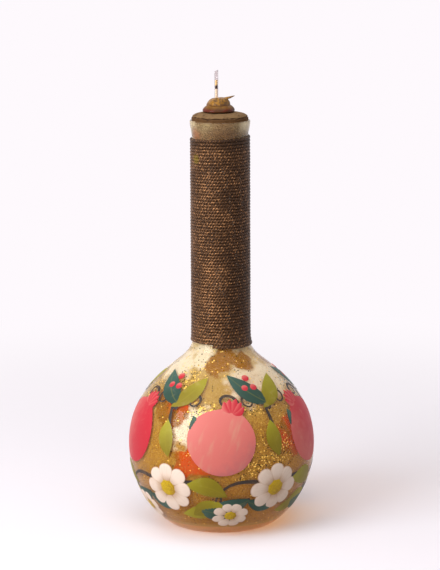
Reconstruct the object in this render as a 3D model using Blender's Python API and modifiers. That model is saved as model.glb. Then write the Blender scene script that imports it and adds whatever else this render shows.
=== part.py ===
"""A decorative long-necked glass bottle: a blown bulb on a flat foot ring, a neck bound with one
tightly wound cord, and a cork that carries a fine glass tube set in a wax collar and a resin cap.

Metres, +Z up. The origin is the centre of the foot ring, on the surface that the bottle stands on.
The turned pieces share the Z axis, and the front of the bottle faces -Y. The cork and all that it
carries hang from one empty on that axis, because they lift out of the mouth together.
"""

import math

import bmesh
import bpy
from mathutils import Color, Matrix, Vector
from mathutils.geometry import interpolate_bezier

# Clearances
SEAT_GAP = 0.0003
FILL_GAP = 0.00015
OVERRUN = 0.002
MERGE_DISTANCE = 0.00001
SHARP_ANGLE = math.radians(40.0)

# Facets
GLASS_SIDES = 48
CORD_SIDES = 18
TUBE_SIDES = 16
LUMP_SIDES = 8
LUMP_LEVELS = 2
BULB_POINTS = 10
THROAT_POINTS = 7
LIP_POINTS = 4
RIM_POINTS = 5
FLOOR_POINTS = 4
CROWN_POINTS = 6

# The bottle's outside, from the foot up
FOOT_RADIUS = 0.0270
PUNT_RADIUS = 0.0185
PUNT_DEPTH = 0.0016
BELLY_RADIUS = 0.0530
BELLY_HEIGHT = 0.0438
SHOULDER_RADIUS = 0.0289
SHOULDER_RISE = 0.0473
SHOULDER_SLOPE = math.radians(50.2)
THROAT_RISE = 0.0179
NECK_RADIUS = 0.0158
NECK_LENGTH = 0.1224
LIP_FLARE = 0.0012
LIP_LENGTH = 0.0100

# The pull of the outline's handles, as shares of the rise of the stretch that they shape
HEEL_SHARE = 0.30
BELLY_LOWER_SHARE = 0.52
BELLY_UPPER_SHARE = 0.41
SHOULDER_LOWER_SHARE = 0.49
SHOULDER_UPPER_SHARE = 0.44
THROAT_SHARE = 0.50
LIP_LOWER_SHARE = 0.40
LIP_UPPER_SHARE = 0.35

# The bottle's wall
FOOT_WALL = 0.0032
BELLY_WALL = 0.0020
NECK_WALL = 0.0017
LIP_WALL = 0.0011

# The cord round the neck
CORD_PITCH = 0.00169
CORD_GROOVE = 0.00045
CORD_HEIGHT = 0.00055
CORE_THICKNESS = 0.00035
BINDING_BELOW_MOUTH = 0.0093
BINDING_OVER_THROAT = 0.0042

# The cork
CORK_STANDING = 0.0043
CORK_EDGE = 0.0015
CORK_SEAT_RADIUS = 0.0090
CORK_LENGTH = 0.0283
CORK_CHAMFER = 0.0008
CORK_TAPER = 0.0005

# The glass tube through the cork, and what fills it
TUBE_RADIUS = 0.00105
TUBE_WALL = 0.00035
TUBE_OFFSET = 0.0019
TUBE_STANDING = 0.0151
TUBE_BELOW_CORK = 0.0060
TUBE_END_SLOPE = math.radians(21.0)
EMPTY_LENGTH = 0.0052
BEAD_LENGTH = 0.0028
PLUG_LENGTH = 0.0019
PLUG_SLOPE = math.radians(35.0)
COLUMN_LENGTH = 0.0200

# The wax collar on the cork
COLLAR_RADIUS = 0.0089
COLLAR_HEIGHT = 0.0043
COLLAR_OFFSET = 0.0010
COLLAR_LEAN = 0.0003

# The resin cap on the collar, and its drawn-out spike
RESIN_RADIUS = 0.0061
RESIN_HEIGHT = 0.0032
RESIN_OFFSET = 0.0009
RESIN_LEAN = 0.0003
SPIKE_REACH = 0.0044
SPIKE_LIFT = 0.0019

# The rings of each lump's cage from its foot up, each as its shares of the height and the radius
COLLAR_RING_SHARES = ((0.00, 0.98), (0.14, 1.10), (0.44, 1.05), (0.78, 0.88), (1.00, 0.72))
RESIN_RING_SHARES = ((0.00, 1.02), (0.20, 1.13), (0.52, 1.02), (0.84, 0.74), (1.00, 0.42))
WOBBLE_SHARE = 0.04
WOBBLE_COUNT = 3
# The spike's stations, each as its shares of the reach and the lift, and of the last face's size
SPIKE_SHARES = ((0.30, 0.20, 0.62), (0.62, 0.55, 0.55), (1.00, 1.00, 0.35))

# Heights that follow from the sizes above
SHOULDER_HEIGHT = BELLY_HEIGHT + SHOULDER_RISE
NECK_HEIGHT = SHOULDER_HEIGHT + THROAT_RISE
MOUTH_HEIGHT = NECK_HEIGHT + NECK_LENGTH
BINDING_TOP = MOUTH_HEIGHT - BINDING_BELOW_MOUTH
BINDING_BOTTOM = NECK_HEIGHT - BINDING_OVER_THROAT
CORK_TOP = MOUTH_HEIGHT + CORK_STANDING
CORK_BOTTOM = CORK_TOP - CORK_LENGTH
COLLAR_FOOT = CORK_TOP + SEAT_GAP
RESIN_FOOT = COLLAR_FOOT + COLLAR_HEIGHT + SEAT_GAP
TUBE_TOP = RESIN_FOOT + RESIN_HEIGHT + TUBE_STANDING
TUBE_BOTTOM = CORK_BOTTOM - TUBE_BELOW_CORK
BEAD_FOOT = TUBE_TOP - EMPTY_LENGTH - BEAD_LENGTH
PLUG_FOOT = BEAD_FOOT - FILL_GAP - PLUG_LENGTH
COLUMN_FOOT = PLUG_FOOT - FILL_GAP - COLUMN_LENGTH


def clear_scene():
    """Removes every object, so that the part starts from an empty scene."""
    for obj in list(bpy.data.objects):
        bpy.data.objects.remove(obj)


def new_collection(name):
    """A new collection in the scene."""
    made = bpy.data.collections.new(name)
    bpy.context.scene.collection.children.link(made)
    return made


def finish(name, colour, roughness, metallic=0.0, transmission=0.0):
    """A plain Principled material, its colour given in sRGB."""
    made = bpy.data.materials.new(name)
    made.use_nodes = True
    shader = made.node_tree.nodes["Principled BSDF"]
    shader.inputs["Base Color"].default_value = (*Color(colour).from_srgb_to_scene_linear(), 1.0)
    shader.inputs["Roughness"].default_value = roughness
    shader.inputs["Metallic"].default_value = metallic
    shader.inputs["Transmission Weight"].default_value = transmission
    return made


def new_object(name, mesh, group, material=None, carrier=None, location=(0, 0, 0)):
    """An object from a mesh, in its collection, at its place under what carries it."""
    obj = bpy.data.objects.new(name, mesh)
    obj.parent = carrier
    obj.location = location
    group.objects.link(obj)
    if material:
        mesh.materials.append(material)
    return obj


def mesh_from(name, cage):
    """A smooth-shaded mesh from a bmesh, with its corners kept sharp."""
    bmesh.ops.recalc_face_normals(cage, faces=cage.faces)
    mesh = bpy.data.meshes.new(name)
    cage.to_mesh(mesh)
    cage.free()
    mesh.shade_smooth()
    mesh.set_sharp_from_angle(angle=SHARP_ANGLE)
    return mesh


def profile_mesh(name, outline):
    """An open chain of edges through an outline's (radius, height) points."""
    points = [(radius, 0, height) for radius, height in outline]
    edges = [(index, index + 1) for index in range(len(points) - 1)]
    mesh = bpy.data.meshes.new(name)
    mesh.from_pydata(points, edges, [])
    return mesh


def turn(obj, sides):
    """Turns an object's profile about Z with a Screw modifier."""
    screw = obj.modifiers.new("Turn", "SCREW")
    screw.steps = sides
    screw.render_steps = sides
    screw.use_merge_vertices = True
    screw.merge_threshold = MERGE_DISTANCE
    screw.use_smooth_shade = True


def cut(obj, cutter):
    """Cuts one object from another."""
    boolean = obj.modifiers.new("Cut " + cutter.name, "BOOLEAN")
    boolean.operation = "DIFFERENCE"
    boolean.solver = "EXACT"
    boolean.object = cutter


def keep_as_cutter(obj):
    """Draws an object as wire and leaves it out of the render."""
    obj.hide_render = True
    obj.display_type = "WIRE"
    return obj


def outer_stations():
    """The bottle's outside from the foot ring up to the lip, each point with the wall's thickness."""
    out = Vector((1, 0))
    up = Vector((0, 1))
    lean = Vector((-math.sin(SHOULDER_SLOPE), math.cos(SHOULDER_SLOPE)))
    foot = Vector((FOOT_RADIUS, 0))
    belly = Vector((BELLY_RADIUS, BELLY_HEIGHT))
    shoulder = Vector((SHOULDER_RADIUS, SHOULDER_HEIGHT))
    neck = Vector((NECK_RADIUS, NECK_HEIGHT))
    flare = Vector((NECK_RADIUS, MOUTH_HEIGHT - LIP_LENGTH))
    lip = Vector((NECK_RADIUS + LIP_FLARE, MOUTH_HEIGHT - LIP_WALL / 2))
    heel_pull = out * HEEL_SHARE * (BELLY_RADIUS - FOOT_RADIUS)
    belly_lower = up * BELLY_LOWER_SHARE * BELLY_HEIGHT
    belly_upper = up * BELLY_UPPER_SHARE * SHOULDER_RISE
    shoulder_lower = lean * SHOULDER_LOWER_SHARE * SHOULDER_RISE
    shoulder_upper = lean * SHOULDER_UPPER_SHARE * THROAT_RISE
    throat_pull = up * THROAT_SHARE * THROAT_RISE
    lip_lower = up * LIP_LOWER_SHARE * LIP_LENGTH
    lip_upper = up * LIP_UPPER_SHARE * LIP_LENGTH
    runs = (
        (foot, foot + heel_pull, belly - belly_lower, belly, BULB_POINTS, FOOT_WALL, BELLY_WALL),
        (belly, belly + belly_upper, shoulder - shoulder_lower, shoulder, BULB_POINTS, BELLY_WALL, NECK_WALL),
        (shoulder, shoulder + shoulder_upper, neck - throat_pull, neck, THROAT_POINTS, NECK_WALL, NECK_WALL),
        (flare, flare + lip_lower, lip - lip_upper, lip, LIP_POINTS, NECK_WALL, LIP_WALL),
    )
    stations = []
    for start, start_handle, end_handle, end, count, start_wall, end_wall in runs:
        points = interpolate_bezier(start, start_handle, end_handle, end, count)
        for index, point in enumerate(points):
            wall = start_wall + (end_wall - start_wall) * index / (count - 1)
            if not stations or (point - stations[-1][0]).length > MERGE_DISTANCE:
                stations.append((point, wall))
    return stations


def inner_outline():
    """The bottle's inside from the heel up to the lip: its outside, set in by the wall."""
    stations = outer_stations()
    outline = []
    for index, (point, wall) in enumerate(stations):
        before = stations[max(index - 1, 0)][0]
        after = stations[min(index + 1, len(stations) - 1)][0]
        along = (after - before).normalized()
        outline.append(point + Vector((-along.y, along.x)) * wall)
    return outline


def radius_at(outline, height):
    """The radius of an outline that runs upwards, at a height above the belly."""
    above = [point for point in outline if point.y >= BELLY_HEIGHT]
    for low, high in zip(above, above[1:]):
        if low.y <= height <= high.y:
            return low.x + (high.x - low.x) * (height - low.y) / (high.y - low.y)
    return above[-1].x


def dome(radius, rise, base):
    """Points of a shallow dome from its middle to its rim."""
    points = []
    for index in range(FLOOR_POINTS):
        share = index / (FLOOR_POINTS - 1)
        points.append((radius * share, base + rise * math.cos(share * math.pi / 2)))
    return points


def rim_arc():
    """The rounded rim, from the mouth's inside over to the lip's outside."""
    radius = LIP_WALL / 2
    middle = NECK_RADIUS + LIP_FLARE - radius
    height = MOUTH_HEIGHT - radius
    points = []
    for index in range(1, RIM_POINTS - 1):
        angle = math.pi * (1 - index / (RIM_POINTS - 1))
        points.append((middle + radius * math.cos(angle), height + radius * math.sin(angle)))
    return points


def add_glass_bottle(group):
    """The blown bottle: floor, inside, rim, outside, foot ring and shallow punt in one outline."""
    floor = dome(PUNT_RADIUS, PUNT_DEPTH, FOOT_WALL)
    inside = [tuple(point) for point in inner_outline()]
    outside = [tuple(point) for point, wall in reversed(outer_stations())]
    punt = list(reversed(dome(PUNT_RADIUS, PUNT_DEPTH, 0)))
    outline = floor + inside + rim_arc() + outside + punt
    glass = finish("bottle_glass", (0.80, 0.62, 0.32), 0.05, transmission=0.9)
    bottle = new_object("glass_bottle", profile_mesh("glass_bottle", outline), group, glass)
    turn(bottle, GLASS_SIDES)
    return bottle


def cord_bore(cutters):
    """The cutter for the binding's bore: the outside of the neck and throat, with the seat's gap."""
    outside = [point for point, wall in outer_stations()]
    low = BINDING_BOTTOM - OVERRUN
    high = BINDING_TOP + OVERRUN
    heights = [high, *(point.y for point in reversed(outside) if low < point.y < high), low]
    side = [(radius_at(outside, height) + SEAT_GAP, height) for height in heights]
    mesh = profile_mesh("cord_bore", [(0, high), *side, (0, low)])
    cutter = keep_as_cutter(new_object("cord_bore", mesh, cutters))
    turn(cutter, GLASS_SIDES)
    return cutter


def least_gap(rows):
    """The least distance between the feet of neighbouring turns, measured on the cord's points."""
    gaps = []
    for row, next_turn in zip(rows, rows[CORD_SIDES:]):
        gaps.append((next_turn[0] - row[2]).length)
    return min(gaps)


def add_neck_cord(group, cutters):
    """The binding: one unbroken cord wound up the neck over a plain core, cut level at both ends."""
    root = NECK_RADIUS + SEAT_GAP + CORE_THICKNESS
    width = CORD_PITCH - CORD_GROOVE
    section = ((root, 0), (root + CORD_HEIGHT, width / 2), (root, width), (root, CORD_PITCH))
    start = BINDING_BOTTOM - CORD_PITCH
    turns = math.ceil((BINDING_TOP - start) / CORD_PITCH) + 1
    cage = bmesh.new()
    verts = [cage.verts.new((radius, 0, start + height)) for radius, height in section]
    edges = [cage.edges.new(pair) for pair in zip(verts, verts[1:])]
    bmesh.ops.spin(
        cage,
        geom=verts + edges,
        axis=(0, 0, 1),
        cent=(0, 0, 0),
        dvec=(0, 0, CORD_PITCH / CORD_SIDES),
        angle=2 * math.pi * turns,
        steps=CORD_SIDES * turns,
    )
    outside = [point for point, wall in outer_stations()]
    for vert in cage.verts:
        radius = vert.co.xy.length
        spread = radius_at(outside, vert.co.z) - NECK_RADIUS if vert.co.z < NECK_HEIGHT else 0
        vert.co.xy *= (radius + spread) / radius
    points = [vert.co.copy() for vert in cage.verts]
    rows = [points[index : index + len(section)] for index in range(0, len(points), len(section))]
    wound = (BINDING_TOP - BINDING_BOTTOM) / CORD_PITCH
    print(f"neck_cord: {wound:.1f} turns, least gap between them {1000 * least_gap(rows):.2f} mm")
    bmesh.ops.remove_doubles(cage, verts=cage.verts, dist=MERGE_DISTANCE)
    for height, normal in ((BINDING_TOP, (0, 0, 1)), (BINDING_BOTTOM, (0, 0, -1))):
        everything = [*cage.verts, *cage.edges, *cage.faces]
        bmesh.ops.bisect_plane(
            cage, geom=everything, plane_co=(0, 0, height), plane_no=normal, clear_outer=True
        )
    bmesh.ops.holes_fill(cage, edges=[edge for edge in cage.edges if edge.is_boundary])
    twine = finish("neck_cord", (0.40, 0.28, 0.20), 0.5, metallic=0.3)
    binding = new_object("neck_cord", mesh_from("neck_cord", cage), group, twine)
    cut(binding, cord_bore(cutters))
    return binding


def add_stopper_axis(group):
    """The empty that the lifting pieces hang from, on the bottle's axis at the mouth."""
    axis = bpy.data.objects.new("stopper_axis", None)
    axis.location = (0, 0, MOUTH_HEIGHT)
    group.objects.link(axis)
    return axis


def under_axis(height, offset=0.0):
    """A place under the stopper's empty, from a height above the foot and an offset to the right."""
    return (offset, 0, height - MOUTH_HEIGHT)


def tube_bore(cutters, axis):
    """The cutter that makes way for the glass tube through the cork, the wax and the resin."""
    low = CORK_BOTTOM - OVERRUN
    high = RESIN_FOOT + RESIN_HEIGHT + OVERRUN
    cage = bmesh.new()
    radius = TUBE_RADIUS + SEAT_GAP
    bmesh.ops.create_cone(
        cage, cap_ends=True, segments=TUBE_SIDES, radius1=radius, radius2=radius, depth=high - low
    )
    place = under_axis((low + high) / 2, -TUBE_OFFSET)
    mesh = mesh_from("tube_bore", cage)
    return keep_as_cutter(new_object("tube_bore", mesh, cutters, carrier=axis, location=place))


def crown_arc(radius):
    """The cork's crown, from the edge of the wax's seat over and down to its standing edge."""
    drop = CORK_STANDING - CORK_EDGE
    points = []
    for index in range(CROWN_POINTS):
        angle = math.pi / 2 * index / (CROWN_POINTS - 1)
        out = CORK_SEAT_RADIUS + (radius - CORK_SEAT_RADIUS) * math.sin(angle)
        points.append((out, CORK_TOP - drop * (1 - math.cos(angle))))
    return points


def add_cork(group, axis, bore):
    """The cork: a crown over the mouth, then it follows the mouth's flare and tapers down the neck."""
    inside = [point for point in inner_outline() if CORK_BOTTOM < point.y]
    mouth_radius = inside[-1].x - SEAT_GAP
    mouth = [(point.x - SEAT_GAP, point.y) for point in reversed(inside)]
    foot_radius = NECK_RADIUS - NECK_WALL - SEAT_GAP - CORK_TAPER
    outline = [
        (0, CORK_TOP),
        *crown_arc(mouth_radius),
        *mouth,
        (foot_radius, CORK_BOTTOM + CORK_CHAMFER),
        (foot_radius - CORK_CHAMFER, CORK_BOTTOM),
        (0, CORK_BOTTOM),
    ]
    local = [(radius, height - CORK_BOTTOM) for radius, height in outline]
    bark = finish("cork", (0.52, 0.40, 0.28), 0.85)
    mesh = profile_mesh("cork_stopper", local)
    cork = new_object("cork_stopper", mesh, group, bark, axis, under_axis(CORK_BOTTOM))
    turn(cork, GLASS_SIDES)
    cut(cork, bore)
    return cork


def draw_out(cage, face, centre, spread):
    """Extrudes one face of a cage to a new centre, scales it by its spread and gives it back."""
    drawn = bmesh.ops.extrude_discrete_faces(cage, faces=[face])["faces"][0]
    middle = drawn.calc_center_median()
    for vert in drawn.verts:
        vert.co = centre + (vert.co - middle) * spread
    return drawn


def lump_cage(radius, height, rings, lean):
    """A coarse cage for a melted lump: a low drum, its top face drawn up through the rings."""
    cage = bmesh.new()
    (foot_rise, foot_spread), (first_rise, spread), *others = rings
    depth = height * (first_rise - foot_rise)
    bmesh.ops.create_cone(
        cage,
        cap_ends=True,
        segments=LUMP_SIDES,
        radius1=radius * foot_spread,
        radius2=radius * spread,
        depth=depth,
        matrix=Matrix.Translation((0, 0, depth / 2)),
    )
    top = max(cage.faces, key=lambda face: face.calc_center_median().z)
    for rise, next_spread in others:
        top = draw_out(cage, top, Vector((lean * rise, 0, height * rise)), next_spread / spread)
        spread = next_spread
    for vert in cage.verts:
        angle = math.atan2(vert.co.y, vert.co.x)
        vert.co.xy *= 1 + WOBBLE_SHARE * math.sin(WOBBLE_COUNT * angle + vert.co.z / height)
    return cage


def draw_spike(cage):
    """Draws the thin spike out of the resin's upper right side."""
    side = [face for face in cage.faces if face.calc_center_median().z > RESIN_HEIGHT / 2]
    face = max(side, key=lambda candidate: candidate.calc_center_median().x)
    start = face.calc_center_median()
    for reach, lift, spread in SPIKE_SHARES:
        face = draw_out(cage, face, start + Vector((SPIKE_REACH * reach, 0, SPIKE_LIFT * lift)), spread)


def add_lump(name, cage, group, material, axis, place, bore):
    """A lump with its Subdivision Surface, bored for the glass tube."""
    lump = new_object(name, mesh_from(name, cage), group, material, axis, place)
    rounding = lump.modifiers.new("Round", "SUBSURF")
    rounding.levels = LUMP_LEVELS
    rounding.render_levels = LUMP_LEVELS
    cut(lump, bore)
    return lump


def add_wax_collar(group, axis, bore):
    """The ring of dark sealing wax on the cork."""
    cage = lump_cage(COLLAR_RADIUS, COLLAR_HEIGHT, COLLAR_RING_SHARES, COLLAR_LEAN)
    wax = finish("wax", (0.40, 0.22, 0.15), 0.3)
    place = under_axis(COLLAR_FOOT, -COLLAR_OFFSET)
    return add_lump("wax_collar", cage, group, wax, axis, place, bore)


def add_resin_cap(group, axis, bore):
    """The lump of amber resin on the wax, with its spike."""
    cage = lump_cage(RESIN_RADIUS, RESIN_HEIGHT, RESIN_RING_SHARES, RESIN_LEAN)
    draw_spike(cage)
    resin = finish("resin", (0.62, 0.44, 0.17), 0.25)
    place = under_axis(RESIN_FOOT, -RESIN_OFFSET)
    return add_lump("resin_cap", cage, group, resin, axis, place, bore)


def slope_end(cage, height, slope):
    """Slopes the end of an upright piece that lies at a height, its right side the higher."""
    for vert in cage.verts:
        if abs(vert.co.z - height) < MERGE_DISTANCE:
            vert.co.z += vert.co.x * math.tan(slope)


def add_glass_tube(group, axis):
    """The fine glass tube, open at both ends, with its top end broken off at a slope."""
    length = TUBE_TOP - TUBE_BOTTOM
    bore = TUBE_RADIUS - TUBE_WALL
    corners = ((TUBE_RADIUS, 0), (TUBE_RADIUS, length), (bore, length), (bore, 0))
    cage = bmesh.new()
    verts = [cage.verts.new((radius, 0, height)) for radius, height in corners]
    edges = [cage.edges.new(pair) for pair in zip(verts, verts[1:] + verts[:1])]
    bmesh.ops.spin(
        cage, geom=verts + edges, axis=(0, 0, 1), cent=(0, 0, 0), angle=2 * math.pi, steps=TUBE_SIDES
    )
    bmesh.ops.remove_doubles(cage, verts=cage.verts, dist=MERGE_DISTANCE)
    slope_end(cage, length, TUBE_END_SLOPE)
    clear = finish("tube_glass", (0.95, 0.93, 0.90), 0.05, transmission=0.9)
    place = under_axis(TUBE_BOTTOM, -TUBE_OFFSET)
    return new_object("glass_tube", mesh_from("glass_tube", cage), group, clear, axis, place)


def add_filling(name, foot, length, material, group, axis, foot_slope=0.0, top_slope=0.0):
    """One length of what fills the tube's bore, each end level or at a slope."""
    radius = TUBE_RADIUS - TUBE_WALL - FILL_GAP
    cage = bmesh.new()
    bmesh.ops.create_cone(
        cage,
        cap_ends=True,
        segments=TUBE_SIDES,
        radius1=radius,
        radius2=radius,
        depth=length,
        matrix=Matrix.Translation((0, 0, length / 2)),
    )
    slope_end(cage, length, top_slope)
    slope_end(cage, 0, foot_slope)
    place = under_axis(foot, -TUBE_OFFSET)
    return new_object(name, mesh_from(name, cage), group, material, axis, place)


def add_fillings(group, axis):
    """The pale column, the dark plug and the amber bead in the tube, from the bottom up."""
    pale = finish("column", (0.90, 0.80, 0.70), 0.5)
    dark = finish("plug", (0.36, 0.24, 0.11), 0.5)
    amber = finish("bead", (0.82, 0.69, 0.51), 0.2)
    add_filling("tube_column", COLUMN_FOOT, COLUMN_LENGTH, pale, group, axis)
    add_filling("tube_plug", PLUG_FOOT, PLUG_LENGTH, dark, group, axis, top_slope=PLUG_SLOPE)
    add_filling("tube_bead", BEAD_FOOT, BEAD_LENGTH, amber, group, axis, foot_slope=PLUG_SLOPE)


def main():
    """Builds the bottle, its binding and its stopper."""
    clear_scene()
    bottle = new_collection("decorative_bottle")
    cutters = new_collection("cutters")
    add_glass_bottle(bottle)
    add_neck_cord(bottle, cutters)
    axis = add_stopper_axis(bottle)
    bore = tube_bore(cutters, axis)
    add_cork(bottle, axis, bore)
    add_wax_collar(bottle, axis, bore)
    add_resin_cap(bottle, axis, bore)
    add_glass_tube(bottle, axis)
    add_fillings(bottle, axis)


if __name__ == "__main__":
    main()
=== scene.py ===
"""Dresses a long-necked decorative bottle: blown glass lined with amber and gold, an enamelled garland,
a wound cord binding, and a cork that carries a fine glass tube set in wax and resin.

Metres, +Z up, the front of the bottle faces -Y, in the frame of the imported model.
"""

import bisect
import math
from functools import cache, partial

import bmesh
import bpy
from mathutils import Color, Matrix, Vector, noise
from mathutils.geometry import interpolate_bezier


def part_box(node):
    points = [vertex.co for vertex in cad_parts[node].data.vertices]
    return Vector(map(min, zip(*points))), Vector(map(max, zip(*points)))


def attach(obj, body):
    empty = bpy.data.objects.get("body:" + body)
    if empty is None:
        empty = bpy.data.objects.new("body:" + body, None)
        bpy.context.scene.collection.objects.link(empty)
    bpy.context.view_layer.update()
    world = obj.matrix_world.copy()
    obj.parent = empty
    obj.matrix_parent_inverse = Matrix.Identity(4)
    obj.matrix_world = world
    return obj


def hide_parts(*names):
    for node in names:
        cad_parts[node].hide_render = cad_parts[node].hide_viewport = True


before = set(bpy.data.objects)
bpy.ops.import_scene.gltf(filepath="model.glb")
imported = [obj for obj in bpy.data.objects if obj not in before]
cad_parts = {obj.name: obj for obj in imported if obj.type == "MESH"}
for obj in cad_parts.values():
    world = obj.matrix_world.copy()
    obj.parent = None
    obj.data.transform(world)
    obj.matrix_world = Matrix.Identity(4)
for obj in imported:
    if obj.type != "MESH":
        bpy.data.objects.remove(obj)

bl_info = {
    "name": "Decorative Bottle",
    "version": (1, 0, 0),
    "blender": (4, 5, 0),
    "location": "3D Viewport > Sidebar > Bottle",
    "description": "Builds the pieces, finishes and studio of a decorative bottle",
    "category": "Add Mesh",
}

MERGE_DISTANCE = 0.000005
SHARP_ANGLE = math.radians(40)
TURN_STEPS = 128
# The golden ratio's fraction, which keeps the shades of neighbours apart
GOLDEN_SHARE = 0.618
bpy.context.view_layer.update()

# The pull of the outline's handles, as shares of the rise of the stretch that they shape
HEEL_SHARE = 0.30
BELLY_LOWER_SHARE = 0.52
BELLY_UPPER_SHARE = 0.41
SHOULDER_LOWER_SHARE = 0.49
SHOULDER_UPPER_SHARE = 0.44
THROAT_SHARE = 0.50
LIP_LOWER_SHARE = 0.40
LIP_UPPER_SHARE = 0.35

# The rings of each lump's cage from its foot up, each as its shares of the height and the radius
WAX_RING_SHARES = ((0.00, 0.92), (0.14, 1.02), (0.44, 0.97), (0.78, 0.80), (1.00, 0.66))
RESIN_RING_SHARES = ((0.00, 1.16), (0.30, 1.10), (0.60, 1.00), (0.86, 0.78), (1.00, 0.42))
# The spike's stations, each as its shares of the reach and the lift, and of the last face's size
SPIKE_SHARES = ((0.20, 0.06, 1.35), (0.52, 0.42, 0.62), (1.00, 1.00, 0.36))

# Low refractive indices, because the real glass shows hardly any reflections
BOTTLE_INDEX = 1.28
TUBE_INDEX = 1.30

# The studio: what its world gives, where its lamps point, its floor's curve and its camera
WORLD_STRENGTH = 0.34
LAMP_TARGET = Vector((0, 0, 0.08))
FLOOR_REACH = 3.0
FLOOR_BACK = 2.4
FLOOR_RISE = 2.0
FLOOR_SWEEP = 0.6
FLOOR_DROP = 0.0002
CAMERA_PLACE = (0.0007, -1.2596, 0.3709)
CAMERA_TURN = (math.radians(79.5), math.radians(0.27), 0)
CAMERA_LENS = 142.74
CAMERA_SENSOR = 36
CAMERA_NEAR = 0.05
# The rays that see the backdrop's own colour
SEEING_RAYS = ("Is Camera Ray", "Is Glossy Ray", "Is Transmission Ray")

# Places that the frame gives
BELLY_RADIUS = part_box("glass_bottle")[1][0]
MOUTH_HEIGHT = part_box("glass_bottle")[1][2]
BINDING_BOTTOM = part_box("neck_cord")[0][2]
BINDING_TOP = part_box("neck_cord")[1][2]
CORK_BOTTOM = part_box("cork_stopper")[0][2]
CORK_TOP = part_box("cork_stopper")[1][2]
WAX_LOW, WAX_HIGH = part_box("wax_collar")
RESIN_LOW, RESIN_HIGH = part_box("resin_cap")
TUBE_LOW, TUBE_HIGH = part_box("glass_tube")
BEAD_LOW, BEAD_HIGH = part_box("tube_bead")
PLUG_LOW, PLUG_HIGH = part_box("tube_plug")
COLUMN_LOW, COLUMN_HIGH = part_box("tube_column")
TUBE_RADIUS = (TUBE_HIGH[0] - TUBE_LOW[0]) / 2
TUBE_X = (TUBE_HIGH[0] + TUBE_LOW[0]) / 2

# Places on the cord and the cork with a colour of their own, and a darker patch on the cork
DAB_PLACE = Vector((-0.0142, -0.0106, 0.2106))
RUST_PLACE = Vector((-0.0128, -0.0065, MOUTH_HEIGHT - 0.0075))
DARK_PATCH_PLACE = Vector((0.0020, -0.0145, MOUTH_HEIGHT - 0.0050))

# The lining's colours from the foot up, each with its height. Partly painted light: the pale top stands for
# the bright backdrop showing through, the darker foot for the shaded floor
LINING_STOPS = (
    ("sandy_gold", 0.000),
    ("sandy_gold", 0.034),
    ("straw", 0.046),
    ("straw", 0.062),
    ("pale_gold", 0.076),
    ("pale_gold", 0.090),
    ("cream", 0.105),
)
# The cord's colours from its grooves to its crowns, each with its share of the light: painted shade in the
# grooves, bronze with painted highlights on the crowns
CORD_STOPS = (("cord_dark_shade", 0.00), ("cord_brown", 0.42), ("cord_bronze_highlight", 0.95))
# Orange washes of the lining, each as its azimuth in degrees, its height and its radius
WASHES = (
    (-38, 0.073, 0.0110),
    (-50, 0.077, 0.0090),
    (-10, 0.048, 0.0125),
    (-24, 0.044, 0.0080),
    (50, 0.057, 0.0125),
    (66, 0.062, 0.0090),
    (96, 0.058, 0.0150),
    (128, 0.040, 0.0120),
    (160, 0.070, 0.0140),
    (-164, 0.044, 0.0120),
    (-130, 0.062, 0.0130),
    (-98, 0.040, 0.0110),
)
# Amber washes under the neck, in the same way
AMBERS = (
    (-4, 0.096, 0.0075),
    (10, 0.101, 0.0070),
    (38, 0.097, 0.0065),
    (104, 0.096, 0.0080),
    (176, 0.094, 0.0080),
    (-120, 0.098, 0.0070),
)
# Clusters of gold flecks, in the same way
CLUSTERS = (
    (-44, 0.086, 0.0105),
    (-13, 0.069, 0.0095),
    (29, 0.078, 0.0085),
    (38, 0.052, 0.0100),
    (20, 0.044, 0.0090),
    (-72, 0.078, 0.0100),
    (84, 0.080, 0.0120),
    (140, 0.056, 0.0130),
    (-148, 0.080, 0.0120),
    (-112, 0.050, 0.0110),
)
# Thin places of the lining, through which the light shows. Their pale colour is a painted glow of light from
# behind, and the one at the front left is also a painted highlight of the key lamp
WINDOWS = (
    (-21, 0.066, 0.0130),
    (30, 0.086, 0.0130),
    (-34, 0.099, 0.0070),
    (-65, 0.094, 0.0110),
    (62, 0.088, 0.0120),
    (108, 0.084, 0.0130),
    (150, 0.088, 0.0130),
    (-155, 0.066, 0.0140),
    (-118, 0.086, 0.0120),
    (172, 0.050, 0.0120),
)


def length(name, description, default):
    """A property for a length in metres."""
    return bpy.props.FloatProperty(
        name=name, description=description, default=default, min=0.0, precision=5, unit="LENGTH"
    )


def share(name, description, default):
    """A property for a share between nought and one."""
    return bpy.props.FloatProperty(
        name=name, description=description, default=default, min=0.0, max=1.0, subtype="FACTOR"
    )


def angle(name, description, degrees):
    """A property for an angle, its default in degrees."""
    return bpy.props.FloatProperty(
        name=name, description=description, default=math.radians(degrees), subtype="ANGLE"
    )


def number(name, description, default, least):
    """A property for a whole number."""
    return bpy.props.IntProperty(name=name, description=description, default=default, min=least)


def colour(name, description, red, green, blue):
    """A property for a colour, its default in the 0 to 255 steps of a display."""
    default = (red / 255, green / 255, blue / 255)
    return bpy.props.FloatVectorProperty(
        name=name, description=description, default=default, size=3, min=0, max=1, subtype="COLOR_GAMMA"
    )


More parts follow.
